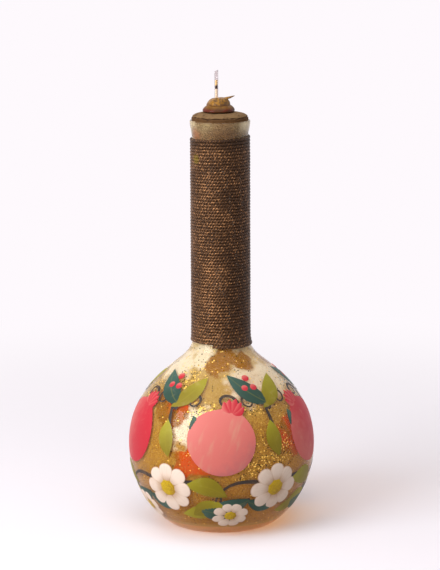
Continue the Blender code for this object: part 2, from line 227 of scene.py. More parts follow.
class BottleSizes(bpy.types.PropertyGroup):
    """The sizes of the glass, the binding and the stopper."""

    foot_radius: length("Foot Radius", "Outer radius of the foot ring", 0.0270)
    punt_radius: length("Punt Radius", "Radius of the hollow under the foot", 0.0185)
    punt_depth: length("Punt Depth", "Depth of the hollow under the foot", 0.0016)
    belly_radius: length("Belly Radius", "Widest radius of the bulb", BELLY_RADIUS)
    belly_height: length("Belly Height", "Height of the widest place", 0.0438)
    shoulder_radius: length("Shoulder Radius", "Radius where the shoulder turns into the throat", 0.0289)
    shoulder_rise: length("Shoulder Rise", "Rise from the belly to the end of the shoulder", 0.0473)
    shoulder_slope: angle("Shoulder Slope", "Lean of the shoulder there from upright", 50.2)
    throat_rise: length("Throat Rise", "Rise from the shoulder to the straight neck", 0.0179)
    neck_radius: length("Neck Radius", "Outer radius of the neck", 0.0158)
    lip_flare: length("Lip Flare", "How far the lip stands out from the neck", 0.0012)
    lip_length: length("Lip Length", "Length of the flared lip", 0.0100)
    foot_wall: length("Foot Wall", "Thickness of the glass at the foot", 0.0032)
    belly_wall: length("Belly Wall", "Thickness of the glass at the belly", 0.0020)
    neck_wall: length("Neck Wall", "Thickness of the glass in the neck", 0.0017)
    lip_wall: length("Lip Wall", "Thickness of the glass at the lip", 0.0011)
    cord_pitch: length("Cord Pitch", "Rise of the cord in one turn", 0.00169)
    cord_depth: length("Cord Depth", "Thickness of the cord out from the neck", 0.00118)
    cord_swell: length("Cord Swell", "Height over which the cord's ends swell and tilt", 0.0140)
    cord_creep: length("Cord Creep", "How far the end turns have crept along the neck", 0.0006)
    cord_start: angle("Cord Start", "Where the winding starts, counted from the right-hand side", -106)
    cord_lay: length("Cord Lay", "Length of cord in one twist of its strands", 0.0032)
    cork_edge: length("Cork Edge", "Height of the cork's upright edge over the mouth", 0.0015)
    cork_seat: length("Cork Seat", "Radius of the flat seat on the cork's crown", 0.0090)
    crack_depth: length("Crack Depth", "Depth of the crack round the cork's edge", 0.0006)
    wax_radius: length("Wax Radius", "Radius of the wax collar", 0.0090)
    wax_height: length("Wax Height", "Height of the wax collar", 0.0043)
    wax_offset: length("Wax Offset", "How far the wax sits to the left of the axis", 0.0010)
    resin_radius: length("Resin Radius", "Radius of the resin cap", 0.0062)
    resin_height: length("Resin Height", "Height of the resin cap", 0.0032)
    resin_offset: length("Resin Offset", "How far the resin sits to the left of the axis", 0.0009)
    resin_run: length("Resin Run", "How far the resin has run down over the wax", 0.0018)
    spike_reach: length("Spike Reach", "Length of the spike out of the resin", 0.0053)
    spike_lift: length("Spike Lift", "Rise of the spike's tip", 0.0015)
    tube_slope: angle("Tube Slope", "Slope of the tube's broken end", 21)
    plug_slope: angle("Plug Slope", "Slope between the tube's dark and amber fillings", 35)
    tube_wall: length("Tube Wall", "Thickness of the fine tube's glass", 0.00035)


class GarlandSizes(bpy.types.PropertyGroup):
    """The sizes of the enamelled garland."""

    repeats: number("Repeats", "How often the garland repeats round the bulb", 5, 1)
    fruit_radius: length("Fruit Radius", "Radius of a round fruit", 0.0190)
    fruit_height: length("Fruit Height", "Height of the fruits' middles", 0.0580)
    crown_length: length("Crown Length", "Length of a sepal in a fruit's crown", 0.0105)
    daisy_radius: length("Daisy Radius", "Radius of a large daisy", 0.0150)
    petal_share: share("Petal Share", "Width of all petals as a share of the daisy's girth", 0.96)
    daisy_height: length("Daisy Height", "Height of the daisies' middles", 0.0300)
    daisy_petals: number("Daisy Petals", "Number of petals of a daisy", 8, 3)
    leaf_length: length("Leaf Length", "Length of a large leaf", 0.0270)
    leaf_width: length("Leaf Width", "Width of a large leaf", 0.0125)
    stem_width: length("Stem Width", "Width of a stem", 0.0026)
    berry_radius: length("Berry Radius", "Radius of a berry", 0.0021)
    paint_depth: length("Paint Depth", "How far the underside of the paint sits in the glass", 0.00008)
    paint_layer: length("Paint Layer", "Thickness that each layer of paint adds", 0.00006)


class BottleColours(bpy.types.PropertyGroup):
    """The colours of the finishes."""

    clear_glass: colour("Clear Glass", "Tint of the blown glass", 255, 252, 245)
    glass_shade: colour("Glass Shade", "Tint of lamplight that passes one face of the glass", 254, 250, 243)
    lining_shade: colour("Lining Shade", "Tint of lamplight that passes a thin lining", 251, 233, 200)
    pale_gold: colour("Pale Gold", "Lining under the neck", 184, 152, 74)
    cream: colour("Cream", "Upper edge of the lining, in the throat", 222, 202, 152)
    # Painted glow: the lining's thin places painted pale as if lit from behind
    pane_glow: colour("Pane", "Thin places of the lining, lit from behind", 248, 240, 214)
    straw: colour("Straw", "Lining on the shoulder and belly", 184, 139, 42)
    amber: colour("Amber", "Amber wash of the lining", 146, 96, 4)
    orange: colour("Orange", "Orange patches of the lining", 204, 76, 0)
    sandy_gold: colour("Sandy Gold", "Lining near the foot", 176, 127, 40)
    grit: colour("Grit", "Fine brown grains in the lining", 136, 86, 18)
    # Partly painted glow: tan, made paler for the light that passes through the thick glass foot
    base_tan_glow: colour("Base Tan", "Lining on the floor", 206, 150, 84)
    gold_fleck: colour("Gold Fleck", "Bright gold flecks", 248, 208, 96)
    # Painted shade: flecks painted dark as they look against the light behind them
    shaded_fleck: colour("Dark Fleck", "Tarnished flecks", 54, 46, 8)
    coral: colour("Coral", "Pink of the fruits", 216, 112, 104)
    crimson: colour("Crimson", "Red of the fruits", 196, 34, 50)
    rose_shadow: colour("Rose Shadow", "Bruised side of the fruits", 186, 104, 106)
    petal: colour("Petal", "White of the petals", 250, 228, 212)
    petal_shadow: colour("Petal Shadow", "Foot of the petals", 204, 168, 138)
    enamel_shade: colour("Enamel Shade", "Tint of light through the enamel", 206, 186, 164)
    daisy_centre: colour("Daisy Centre", "Yellow of the flowers' middles", 214, 178, 24)
    daisy_ochre: colour("Daisy Ochre", "Shaded side of the flowers' middles", 168, 126, 14)
    dark_leaf: colour("Dark Leaf", "Green of the dark leaves", 26, 60, 46)
    blue_leaf: colour("Blue Leaf", "Blue tips of the dark leaves", 58, 92, 80)
    olive_leaf: colour("Olive Leaf", "Green of the olive leaves", 132, 116, 2)
    olive_tip: colour("Olive Tip", "Light tips of the olive leaves", 162, 152, 30)
    stem: colour("Stem", "Dark brown of the stems", 44, 34, 26)
    # Partly painted highlight: bronze, painted as light as the crowns' glints
    cord_bronze_highlight: colour("Cord Light", "Bronze crowns of the cord", 164, 119, 80)
    cord_brown: colour("Cord Brown", "Brown of the cord", 80, 53, 31)
    # Painted shade in the grooves between the strands; it also darkens the top turns
    cord_dark_shade: colour("Cord Dark", "Grooves of the cord", 44, 26, 12)
    green_dab: colour("Green Dab", "Dab of paint on the binding", 122, 100, 26)
    cork_top: colour("Cork Top", "Worn top of the cork", 128, 99, 66)
    cork_side: colour("Cork Side", "Side of the cork", 90, 61, 32)
    cork_pit: colour("Cork Pit", "Pits and cracks of the cork", 52, 30, 14)
    cork_pressed: colour("Cork Pressed", "Cork against the glass of the mouth", 132, 115, 82)
    # Painted highlight: the cork where the edges of the glass catch the light
    cork_bright: colour("Cork Bright", "Cork that the edge of the glass lights up", 208, 196, 170)
    cork_rust: colour("Cork Rust", "Rusty stain on the pressed cork", 142, 88, 52)
    wax: colour("Wax", "Sealing wax", 82, 44, 14)
    wax_red: colour("Wax Red", "Redder places of the wax", 102, 24, 16)
    resin: colour("Resin", "Amber resin", 156, 106, 14)
    resin_dark: colour("Resin Dark", "Dark threads in the resin", 82, 52, 18)
    tube_tint: colour("Tube Tint", "Tint of the fine tube's thin glass", 243, 239, 240)
    # Painted shade: grey for the dark rims of the tube's glass, along its edges and at its broken end
    tube_rim_shade: colour("Tube Grime", "Grime on the broken end of the tube", 96, 92, 92)
    column: colour("Column", "Pale filling of the tube", 250, 226, 198)
    plug: colour("Plug", "Dark filling of the tube", 52, 24, 2)
    bead: colour("Bead", "Amber filling of the tube", 232, 192, 130)
    floor: colour("Floor", "Studio floor", 254, 248, 254)
    floor_bounce: colour("Floor Bounce", "What the floor throws back on the bottle", 160, 152, 148)
    backdrop: colour("Backdrop", "Studio backdrop", 254, 249, 253)


def sizes():
    """The bottle's sizes."""
    return bpy.context.scene.bottle_sizes


def garland():
    """The garland's sizes."""
    return bpy.context.scene.bottle_garland


def shade_of(name):
    """A named colour in the linear values that shaders take."""
    gamma = Color(getattr(bpy.context.scene.bottle_colours, name))
    return (*gamma.from_srgb_to_scene_linear(), 1.0)


# Shader trees


class Socket:
    """An output of a shader tree. Arithmetic on it adds the Math nodes that it needs."""

    def __init__(self, shader, output):
        self.shader = shader
        self.output = output

    def math(self, operation, first, second):
        """The result of a Math node."""
        return self.shader.node("ShaderNodeMath", {"operation": operation}, {0: first, 1: second})

    def __add__(self, other):
        return self.math("ADD", self, other)

    __radd__ = __add__

    def __sub__(self, other):
        return self.math("SUBTRACT", self, other)

    def __rsub__(self, other):
        return self.math("SUBTRACT", other, self)

    def __mul__(self, other):
        return self.math("MULTIPLY", self, other)

    __rmul__ = __mul__

    def __truediv__(self, other):
        return self.math("DIVIDE", self, other)

    def __rtruediv__(self, other):
        return self.math("DIVIDE", other, self)

    def most(self, other):
        """The greater of this and another."""
        return self.math("MAXIMUM", self, other)


class Shader:
    """The node tree of a material or a world. Its colours may be given by their names."""

    def __init__(self, owner):
        owner.use_nodes = True
        self.tree = owner.node_tree
        self.tree.nodes.clear()

    def node(self, kind, settings=None, values=None, output=0):
        """Adds a node: first its settings, then the values or links of its sockets."""
        made = self.tree.nodes.new(kind)
        for name, value in (settings or {}).items():
            setattr(made, name, value)
        for key, value in (values or {}).items():
            if isinstance(value, Socket):
                self.tree.links.new(value.output, made.inputs[key])
            else:
                made.inputs[key].default_value = shade_of(value) if isinstance(value, str) else value
        return Socket(self, made.outputs[output])

    def place(self, output="Object"):
        """The coordinates of the surface in metres, or its own UV map."""
        return self.node("ShaderNodeTexCoord", output=output)

    def attribute(self, name):
        """A number that the mesh keeps at its vertices."""
        return self.node("ShaderNodeAttribute", {"attribute_name": name}, output="Fac")

    def parts(self, vector):
        """The X, Y and Z of a vector."""
        split = self.node("ShaderNodeSeparateXYZ", values={0: vector})
        return [Socket(self, output) for output in split.output.node.outputs]

    def vector(self, x, y, z):
        """A vector from its X, Y and Z."""
        return self.node("ShaderNodeCombineXYZ", values={0: x, 1: y, 2: z})

    def ray(self, *kinds):
        """One for rays of any of the kinds, nought for the others."""
        outputs = self.node("ShaderNodeLightPath").output.node.outputs
        found, *others = [Socket(self, outputs[kind]) for kind in kinds]
        for other in others:
            found = found.most(other)
        return found

    def noise(self, place, grain, detail=2.0, warp=0.0):
        """Smooth noise whose features are about a grain long."""
        values = {"Vector": place, "Scale": 1 / grain, "Detail": detail, "Distortion": warp}
        return self.node("ShaderNodeTexNoise", values=values)

    def cells(self, place, grain, output="Distance"):
        """Voronoi cells about a grain wide."""
        return self.node("ShaderNodeTexVoronoi", values={"Vector": place, "Scale": 1 / grain}, output=output)

    def sine(self, value):
        """The sine of a value."""
        return self.node("ShaderNodeMath", {"operation": "SINE"}, {0: value})

    def step(self, value, low, high):
        """A smooth step from nought at low to one at high."""
        settings = {"interpolation_type": "SMOOTHSTEP"}
        return self.node("ShaderNodeMapRange", settings, {"Value": value, "From Min": low, "From Max": high})

    def fall(self, value, low, high):
        """A smooth step from one at low to nought at high."""
        return 1 - self.step(value, low, high)

    def reach(self, place, middle=(0, 0, 0)):
        """The distance of a place from a middle."""
        settings = {"operation": "DISTANCE"}
        return self.node("ShaderNodeVectorMath", settings, {0: place, 1: middle}, output="Value")

    def spot(self, place, middle, inner, outer, ragged):
        """One within the inner distance of a middle and nought beyond the outer, with a ragged edge."""
        return self.fall(self.reach(place, middle) + ragged, inner, outer)

    def mix(self, factor, first, second):
        """A mix of two colours."""
        values = {0: factor, 6: first, 7: second}
        return self.node("ShaderNodeMix", {"data_type": "RGBA"}, values, output=2)

    def layers(self, base, *coats):
        """A colour under coats that are laid on in turn, each a factor and a colour."""
        for factor, coat in coats:
            base = self.mix(factor, base, coat)
        return base

    def ramp(self, value, top, stops):
        """A colour ramp over a value up to its top, each stop a colour's name and the value there."""
        made = self.node("ShaderNodeValToRGB", values={"Fac": value / top})
        elements = made.output.node.color_ramp.elements
        while len(elements) < len(stops):
            elements.new(1.0)
        for element, (name, stop) in zip(elements, stops):
            element.position = stop / top
            element.color = shade_of(name)
        return made

    def bump(self, height, reach):
        """A normal from a height of nought to one that stands for a reach in metres."""
        return self.node("ShaderNodeBump", values={"Height": height, "Distance": reach, "Strength": 1.0})

    def principled(self, **values):
        """A Principled shader. An underscore in a name stands for a space."""
        named = {key.replace("_", " "): value for key, value in values.items()}
        named["IOR"] = named.get("IOR", 1.5)
        return self.node("ShaderNodeBsdfPrincipled", values=named)

    def transparent(self, tint):
        """A shader that lets everything through with a tint."""
        return self.node("ShaderNodeBsdfTransparent", values={"Color": tint})

    def blend(self, factor, first, second):
        """A mix of two shaders."""
        return self.node("ShaderNodeMixShader", values={0: factor, 1: first, 2: second})

    def show(self, kind, surface):
        """Adds the output node that shows a shader."""
        made = self.tree.nodes.new(kind)
        self.tree.links.new(surface.output, made.inputs["Surface"])


def material(name, look, *details):
    """A new material, its surface given by a function of its tree, the place on it and any details."""
    made = bpy.data.materials.new(name)
    shader = Shader(made)
    shader.show("ShaderNodeOutputMaterial", look(shader, shader.place(), *details))
    return made


def clear_glass(shader, normal, roughness, index):
    """Clear glass with a refractive index."""
    return shader.principled(
        Base_Color="clear_glass",
        Roughness=roughness,
        IOR=index,
        Transmission_Weight=1.0,
        Normal=normal,
    )


def let_light_through(shader, surface, tint):
    """Lets a lamp's shadow rays through a surface with a tint."""
    return shader.blend(shader.ray("Is Shadow Ray"), surface, shader.transparent(tint))


def blown_glass(shader, place):
    """The outside of the glass: clear, a little wavy and smudged."""
    waves = shader.noise(place, 0.022, detail=1.0)
    smudges = shader.noise(place, 0.009, detail=4.0, warp=0.6)
    roughness = 0.09 + 0.12 * shader.step(smudges, 0.45, 0.80)
    glass = clear_glass(shader, shader.bump(waves, 0.00015), roughness, BOTTLE_INDEX)
    return let_light_through(shader, glass, "glass_shade")


def patches(shader, place, ragged, spots, soft):
    """One inside any of the spots on the bulb, whose edges are made ragged by a noise."""
    surface = bottle_surface()
    found = None
    for azimuth, height, radius in spots:
        middle = surface.point(math.radians(azimuth), surface.arc_at(height), 0)
        inside = shader.spot(place, middle, radius * (1 - soft), radius * (1 + soft), radius * ragged)
        found = inside if found is None else found.most(inside)
    return found


def lined_glass(shader, place):
    """The inside of the glass: amber and gold washes with gold flecks, thin in places."""
    height = shader.parts(place)[2]
    drift = shader.noise(place, 0.026, detail=3.0, warp=0.8)
    grain = shader.noise(place, 0.0013, detail=4.0)
    grit = shader.step(shader.noise(place, 0.0008), 0.42, 0.58)
    ragged = 1.6 * (shader.noise(place, 0.007, detail=4.0) - 0.5)
    orange = patches(shader, place, ragged, WASHES, 0.12)
    amber = patches(shader, place, ragged, AMBERS, 0.15)
    window = patches(shader, place, ragged, WINDOWS, 0.30)
    clustered = patches(shader, place, ragged, CLUSTERS, 0.50)
    washed = orange.most(amber)
    level = height + 0.018 * (drift - 0.5)
    pale = shader.step(level, 0.060, 0.095)
    heel = shader.fall(height, 0.0060, 0.0068)
    # A thin ring just above the heel, painted pale as a highlight along the inner edge of the floor
    line = shader.step(height, 0.0058, 0.0066) * shader.fall(height, 0.0074, 0.0086)
    wash = shader.layers(
        # Darker at the foot, pale in the throat: partly the lining's colours, partly painted light
        shader.ramp(level, LINING_STOPS[-1][1], LINING_STOPS),
        # The thin places in a pale colour: a painted glow of light from behind
        (0.85 * window, "pane_glow"),
        (orange, shader.mix(shader.step(drift, 0.42, 0.60), "orange", "amber")),
        (amber, "amber"),
        ((0.65 - 0.45 * pale) * (1 - 0.75 * window.most(washed)) * grit, "grit"),
        (0.40 * shader.fall(grain, 0.30, 0.44), "pale_gold"),
        # Tan at the heel, partly a painted glow of light through the thick glass foot
        (heel, "base_tan_glow"),
        # Painted highlight: the pale ring along the inner edge of the floor
        (0.55 * line, "pale_gold"),
    )
    flake = 0.00095
    chance, glint, unused = shader.parts(shader.cells(place, flake, output="Color"))
    limit = 0.93 - 0.62 * clustered - 0.04 * pale + 0.2 * heel
    fleck = shader.step(chance - limit, 0.0, 0.02) * shader.fall(shader.cells(place, flake), 0.37, 0.54)
    # Some flecks are painted gold, the others dark; the dark ones are painted shade, flecks seen against the
    # light behind them
    gold = shader.mix(shader.step(glint, 0.46, 0.50), "shaded_fleck", "gold_fleck")
    thick = (0.98 - 0.12 * pale - 0.10 * window) * (0.92 + 0.12 * grain)
    cover = thick.most(0.96 * washed).most(fleck) * shader.fall(height, 0.106, 0.114)
    coat = shader.principled(
        Base_Color=shader.mix(fleck, wash, gold),
        Metallic=0.7 * fleck,
        Roughness=0.60 - 0.20 * fleck,
        Specular_IOR_Level=0.08,
        Normal=shader.bump(grain, 0.00002),
    )
    glow = shader.node("ShaderNodeBsdfTranslucent", values={"Color": wash})
    coat = shader.blend(0.36 * (1 - fleck), coat, glow)
    glass = clear_glass(shader, shader.bump(drift, 0.0002), 0.04, BOTTLE_INDEX)
    return let_light_through(shader, shader.blend(cover, glass, coat), "lining_shade")


def enamel(shader, place, paint):
    """Semi-matt enamel whose colour comes from a function of its tree, its UV map and its shade."""
    along, across, unused = shader.parts(shader.place("UV"))
    mottle = shader.noise(place, 0.005, detail=5.0, warp=0.4)
    fine = shader.noise(place, 0.0007, detail=3.0)
    base = paint(shader, along, across, shader.attribute("shade"), mottle)
    surface = shader.principled(
        Base_Color=shader.mix(0.14 * shader.step(mottle, 0.58, 0.78), base, "petal_shadow"),
        Roughness=0.46 + 0.16 * fine,
        Specular_IOR_Level=0.35,
        Coat_Weight=0.06,
        Coat_Roughness=0.30,
        Normal=shader.bump(0.6 * fine + 0.4 * mottle, 0.00005),
    )
    return let_light_through(shader, surface, "enamel_shade")


def fruit_paint(shader, along, across, shade, mottle):
    """Coral on the light side with a rosy bruise on the other, or crimson with a coral blush."""
    turned = 0.7 * (1 - along) + 0.9 * (1 - across) + 0.5 * (mottle - 0.5)
    strokes = shader.noise(shader.vector(along * 2.0, across * 9.0, shade * 5.0), 1.0, detail=4.0)
    coral = shader.layers(
        "coral",
        (0.35 * shader.step(strokes, 0.50, 0.75), "petal_shadow"),
        (0.8 * shader.step(turned, 0.95, 1.45), "rose_shadow"),
    )
    blush = 0.8 * shader.step(1.1 * across - 0.3 * along + 0.5 * (mottle - 0.5), 0.15, 0.95)
    return shader.mix(shader.step(shade, 0.2, 0.6), coral, shader.mix(blush, "crimson", "coral"))


def petal_paint(shader, along, across, shade, mottle):
    """White towards the tip, faintly streaked, and shaded at the foot and the edge."""
    streaks = shader.noise(shader.vector(along * 0.4, across * 5.0, shade * 9.0), 0.5)
    foot = shader.fall(along + 0.25 * (streaks - 0.5), 0.0, 0.55)
    wide, high = 2 * along - 1, 2 * across - 1
    edge = shader.step(wide * wide + high * high, 0.72, 0.98)
    tone = foot * 0.7 + 0.25 * shader.step(streaks, 0.50, 0.75) + 0.25 * shade + 0.6 * edge
    return shader.mix(shader.step(tone, 0.0, 1.1), "petal", "petal_shadow")


def centre_paint(shader, along, across, shade, mottle):
    """Yellow, with an ochre side and a dotted middle."""
    dots = shader.cells(shader.place(), 0.0009)
    tone = shader.step(along - across + (mottle - 0.5), -0.2, 0.9) * 0.6 + 0.5 * shader.step(dots, 0.3, 0.6)
    return shader.mix(shader.step(tone, 0.0, 1.2), "daisy_centre", "daisy_ochre")


def leaf_paint(body, tip, shader, along, across, shade, mottle):
    """A leaf in its body's colour and its tip's, with a faint lighter midrib."""
    offset = across - 0.5
    rib = shader.fall(offset.math("ABSOLUTE", offset, 0.0), 0.015, 0.045)
    blend = shader.step(along + 0.5 * (mottle - 0.5) + 0.4 * shade, 0.35, 1.25)
    return shader.mix(0.16 * rib, shader.mix(blend, body, tip), "olive_tip")


def stem_paint(shader, along, across, shade, mottle):
    """Dark brown with a few lighter streaks."""
    return shader.mix(0.5 * shader.step(mottle, 0.45, 0.75), "stem", "cork_side")


def bronze_cord(shader, place):
    """Dark brown twisted cord with bronze crowns and one old dab of paint, with painted shade in its grooves
    and on its right-hand side, and painted highlights on its crowns.
    """
    across, unused, height = shader.parts(place)
    along, around, unused = shader.parts(shader.place("UV"))
    ply = 0.5 + 0.5 * shader.sine(4 * math.pi * (along / sizes().cord_lay + around))
    fibre = shader.noise(shader.vector(along * 1200, around * 5.0, 0.0), 1.0, detail=3.0)
    wear = shader.noise(place, 0.014, detail=3.0) - 0.5
    # Random specks, partly the cord's grain and partly painted glints
    speck_glint = shader.fall(shader.cells(place, 0.0015), 0.10, 0.55)
    # Painted shade: the crowns dim towards the right-hand side, away from the lamp
    right_side_shade = shader.step(across, -0.004, 0.007)
    strands = 0.30 * ply + 0.60 * fibre + 0.34 * speck_glint + 0.4 * wear - 0.12 * right_side_shade + 0.04
    light = shader.step(strands, 0.15, 1.00)
    # The top turns are darker, and darker still on the right-hand side, which is painted shade
    top_end = shader.step(height, BINDING_TOP - 0.009, BINDING_TOP - 0.002)
    right = shader.step(across, -0.012, 0.004)
    dab = 0.85 * shader.spot(place, DAB_PLACE, 0.0016, 0.0034, 0.004 * (fibre - 0.5))
    return shader.principled(
        Base_Color=shader.layers(
            shader.ramp(light, 1.0, CORD_STOPS),
            ((0.58 + 0.15 * right) * top_end, "cord_dark_shade"),
            (dab, "green_dab"),
        ),
        Metallic=0.85 * light * (1 - dab),
        Roughness=0.56 - 0.20 * light,
        Specular_IOR_Level=0.2,
        Normal=shader.bump(0.35 * ply + 0.35 * fibre + 0.5 * speck_glint, 0.00028),
    )


def old_cork(shader, place):
    """Old cork: a worn crown and a darker edge; inside the mouth it is paler, darker further down and in a
    patch at the front, with painted highlights at both sides where the edges of the glass catch the light.
    """
    across, unused, height = shader.parts(place)
    over = height - MOUTH_HEIGHT
    bark = shader.noise(place, 0.0026, detail=6.0, warp=0.8)
    stain = shader.noise(place, 0.009, detail=3.0)
    wander = 0.002 * (bark - 0.5)
    crown = shader.step(height + wander, CORK_TOP - 0.0026, CORK_TOP - 0.0020)
    pressed = shader.fall(over + 0.5 * wander, -0.001, 0)
    sunk = shader.fall(over, -0.008, -0.002)
    # Painted highlights at both sides, where the edges of the glass catch the light
    lit = 0.60 * shader.step(across, 0.009, 0.014) + 0.25 * shader.fall(across, -0.0145, -0.0115)
    pitted = shader.step(bark - 0.5 * shader.cells(place, 0.0018), 0.36, 0.56)
    pressed_cork_and_highlights = shader.layers(
        "cork_pressed",
        (0.7 * sunk, "cork_side"),
        # A darker patch at the front
        (0.72 * shader.spot(place, DARK_PATCH_PLACE, 0.003, 0.013, wander), "cork_side"),
        (lit * (1 - 0.7 * sunk), "cork_bright"),
        (0.7 * shader.spot(place, RUST_PLACE, 0.001, 0.006, 2 * wander), "cork_rust"),
    )
    return shader.principled(
        Base_Color=shader.layers(
            "cork_side",
            (crown, "cork_top"),
            (pressed, pressed_cork_and_highlights),
            ((0.45 - 0.25 * pressed) * shader.step(bark, 0.50, 0.70), "cork_side"),
            ((0.80 - 0.68 * pressed) * pitted, "cork_pit"),
            (0.35 * shader.step(stain, 0.50, 0.70), "cork_side"),
            (shader.step(shader.attribute("crack"), 0.25, 0.75), "cork_pit"),
        ),
        Roughness=0.85 - 0.15 * bark,
        Specular_IOR_Level=0.2,
        Normal=shader.bump(bark - 0.6 * pitted, 0.00035),
    )


def sealing_wax(shader, place):
    """Dark red-brown sealing wax, uneven, with a film of resin over its upper side."""
    cloud = shader.noise(place, 0.005, detail=4.0, warp=0.8)
    fine = shader.noise(place, 0.0008, detail=3.0)
    below = shader.parts(place)[2] + 0.0016 * (cloud - 0.5) - WAX_HIGH[2]
    return shader.principled(
        Base_Color=shader.layers(
            "wax",
            (0.65 * shader.step(cloud, 0.48, 0.60), "wax_red"),
            (0.5 * shader.step(fine, 0.50, 0.70), "cork_pit"),
            (0.75 * shader.step(below, -0.003, -0.001), shader.mix(fine, "resin", "resin_dark")),
        ),
        Roughness=0.40 + 0.14 * fine,
        Specular_IOR_Level=0.1,
        Coat_Weight=0.18,
        Coat_Roughness=0.08,
        Normal=shader.bump(0.5 * cloud + 0.5 * fine, 0.00035),
    )


def amber_resin(shader, place):
    """Amber resin with dark threads, redder and darker where it runs on to the wax."""
    across, unused, height = shader.parts(place)
    cloud = shader.noise(place, 0.0022, detail=4.0, warp=1.5)
    fine = shader.noise(place, 0.0006, detail=3.0)
    over = height - RESIN_LOW[2] + 0.0014 - 0.0016 * (cloud - 0.5)
    drawn = shader.step(across / RESIN_HIGH[0], 0.45, 0.75)
    return shader.principled(
        Base_Color=shader.layers(
            "resin",
            (0.9 * shader.step(cloud, 0.48, 0.60), "resin_dark"),
            (0.85 * shader.fall(over, 0.0, 0.002), "wax"),
            (0.6 * drawn, "resin_dark"),
            (0.4 * shader.step(fine, 0.52, 0.68), "resin_dark"),
        ),
        Roughness=0.34 + 0.2 * fine,
        Specular_IOR_Level=0.25,
        Coat_Weight=0.15,
        Coat_Roughness=0.12,
        Normal=shader.bump(0.6 * cloud + 0.4 * fine, 0.00030),
    )


def drawn_glass(shader, place):
    """Clear drawn glass, with painted shade along its edges seen side-on and at its broken end, for the dark
    rims that its refraction gives.
    """
    fine = shader.noise(place, 0.0005, detail=3.0)
    over = shader.parts(place)[2] + 0.0006 * (fine - 0.5) - TUBE_HIGH[2]
    glass = clear_glass(shader, shader.bump(fine, 0.00001), 0.02, TUBE_INDEX)
    glass = shader.blend(0.8, glass, shader.transparent("tube_tint"))
    dark_rim = shader.principled(Base_Color="tube_rim_shade", Roughness=0.6)
    # Painted shade at the edges seen side-on and at the broken end
    turned = shader.node("ShaderNodeLayerWeight", values={"Blend": 0.5}, output="Facing")
    dark_rim_share = (0.5 * shader.step(turned, 0.55, 0.95)).most(0.8 * shader.step(over, -0.00045, 0))
    return shader.blend(dark_rim_share, let_light_through(shader, glass, "glass_shade"), dark_rim)


def filling(shader, place, name):
    """What fills the fine tube: cloudy, and a little darker in places."""
    cloud = shader.noise(place, 0.0008, detail=3.0)
    dark = tuple(0.6 * value for value in shade_of(name)[:3]) + (1.0,)
    return shader.principled(
        Base_Color=shader.mix(0.6 * shader.step(cloud, 0.45, 0.70), name, dark),
        Roughness=0.4 + 0.1 * cloud,
        Normal=shader.bump(cloud, 0.00004),
    )


def studio_paper(shader, place):
    """Pale paper that goes over into the backdrop's own colour, and looks darker to what it lights."""
    seen = shader.ray(*SEEING_RAYS)
    pale = shader.mix(0.04 * shader.noise(place, 0.35), "floor", "petal_shadow")
    lit = shader.principled(Base_Color=shader.mix(seen, "floor_bounce", pale), Roughness=0.9)
    plain = shader.node("ShaderNodeEmission", values={"Color": "backdrop", "Strength": 1.0})
    return shader.blend(seen * shader.step(shader.reach(place), 0.10, 0.60), lit, plain)


# Shapes


def as_mesh(cage, name):
    """Turns a bmesh into a mesh."""
    mesh = bpy.data.meshes.new(name)
    cage.to_mesh(mesh)
    cage.free()
    return mesh


def add_object(name, data):
    """Adds an object to the scene."""
    made = bpy.data.objects.new(name, data)
    bpy.context.scene.collection.objects.link(made)
    return made


def add_piece(name, cage, body, materials, replaced=()):
    """Makes a finished piece of a bmesh, and says what it rides on, looks like and stands for."""
    mesh = as_mesh(cage, name)
    mesh.shade_smooth()
    mesh.set_sharp_from_angle(angle=SHARP_ANGLE)
    for made in materials:
        mesh.materials.append(made)
    piece = add_object(name, mesh)
    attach(piece, body)
    if replaced:
        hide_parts(*replaced)
    return piece


def evenly(start, end, count):
    """Values from a start to an end, both included, in a number of equal steps."""
    return [start + (end - start) * index / count for index in range(count + 1)]


def turn_outline(cage, outline, steps=TURN_STEPS, slot=0):
    """Turns an outline's (radius, height) points once about Z into a bmesh."""
    faces_before = len(cage.faces)
    verts = [cage.verts.new((radius, 0, height)) for radius, height in outline]
    edges = [cage.edges.new(pair) for pair in zip(verts, verts[1:])]
    bmesh.ops.spin(
        cage,
        geom=verts + edges,
        axis=(0, 0, 1),
        cent=(0, 0, 0),
        angle=2 * math.pi,
        steps=steps,
        use_merge=True,
    )
    cage.faces.ensure_lookup_table()
    for face in cage.faces[faces_before:]:
        face.material_index = slot


def drum(sides, low_radius, high_radius, depth, matrix):
    """A bmesh of a capped drum, its middle at the matrix's place."""
    cage = bmesh.new()
    bmesh.ops.create_cone(
        cage,
        cap_ends=True,
        segments=sides,
        radius1=low_radius,
        radius2=high_radius,
        depth=depth,
        matrix=matrix,
    )
    return cage


def close_up(cage):
    """Merges doubled vertices and turns every face outwards."""
    bmesh.ops.remove_doubles(cage, verts=cage.verts, dist=MERGE_DISTANCE)
    bmesh.ops.recalc_face_normals(cage, faces=cage.faces)


def weather(cage, reach, grain, shift):
    """Moves each vertex along its normal by smooth noise."""
    cage.normal_update()
    for vert in cage.verts:
        vert.co += vert.normal * reach * noise.noise(vert.co / grain + Vector((shift, shift, shift)))


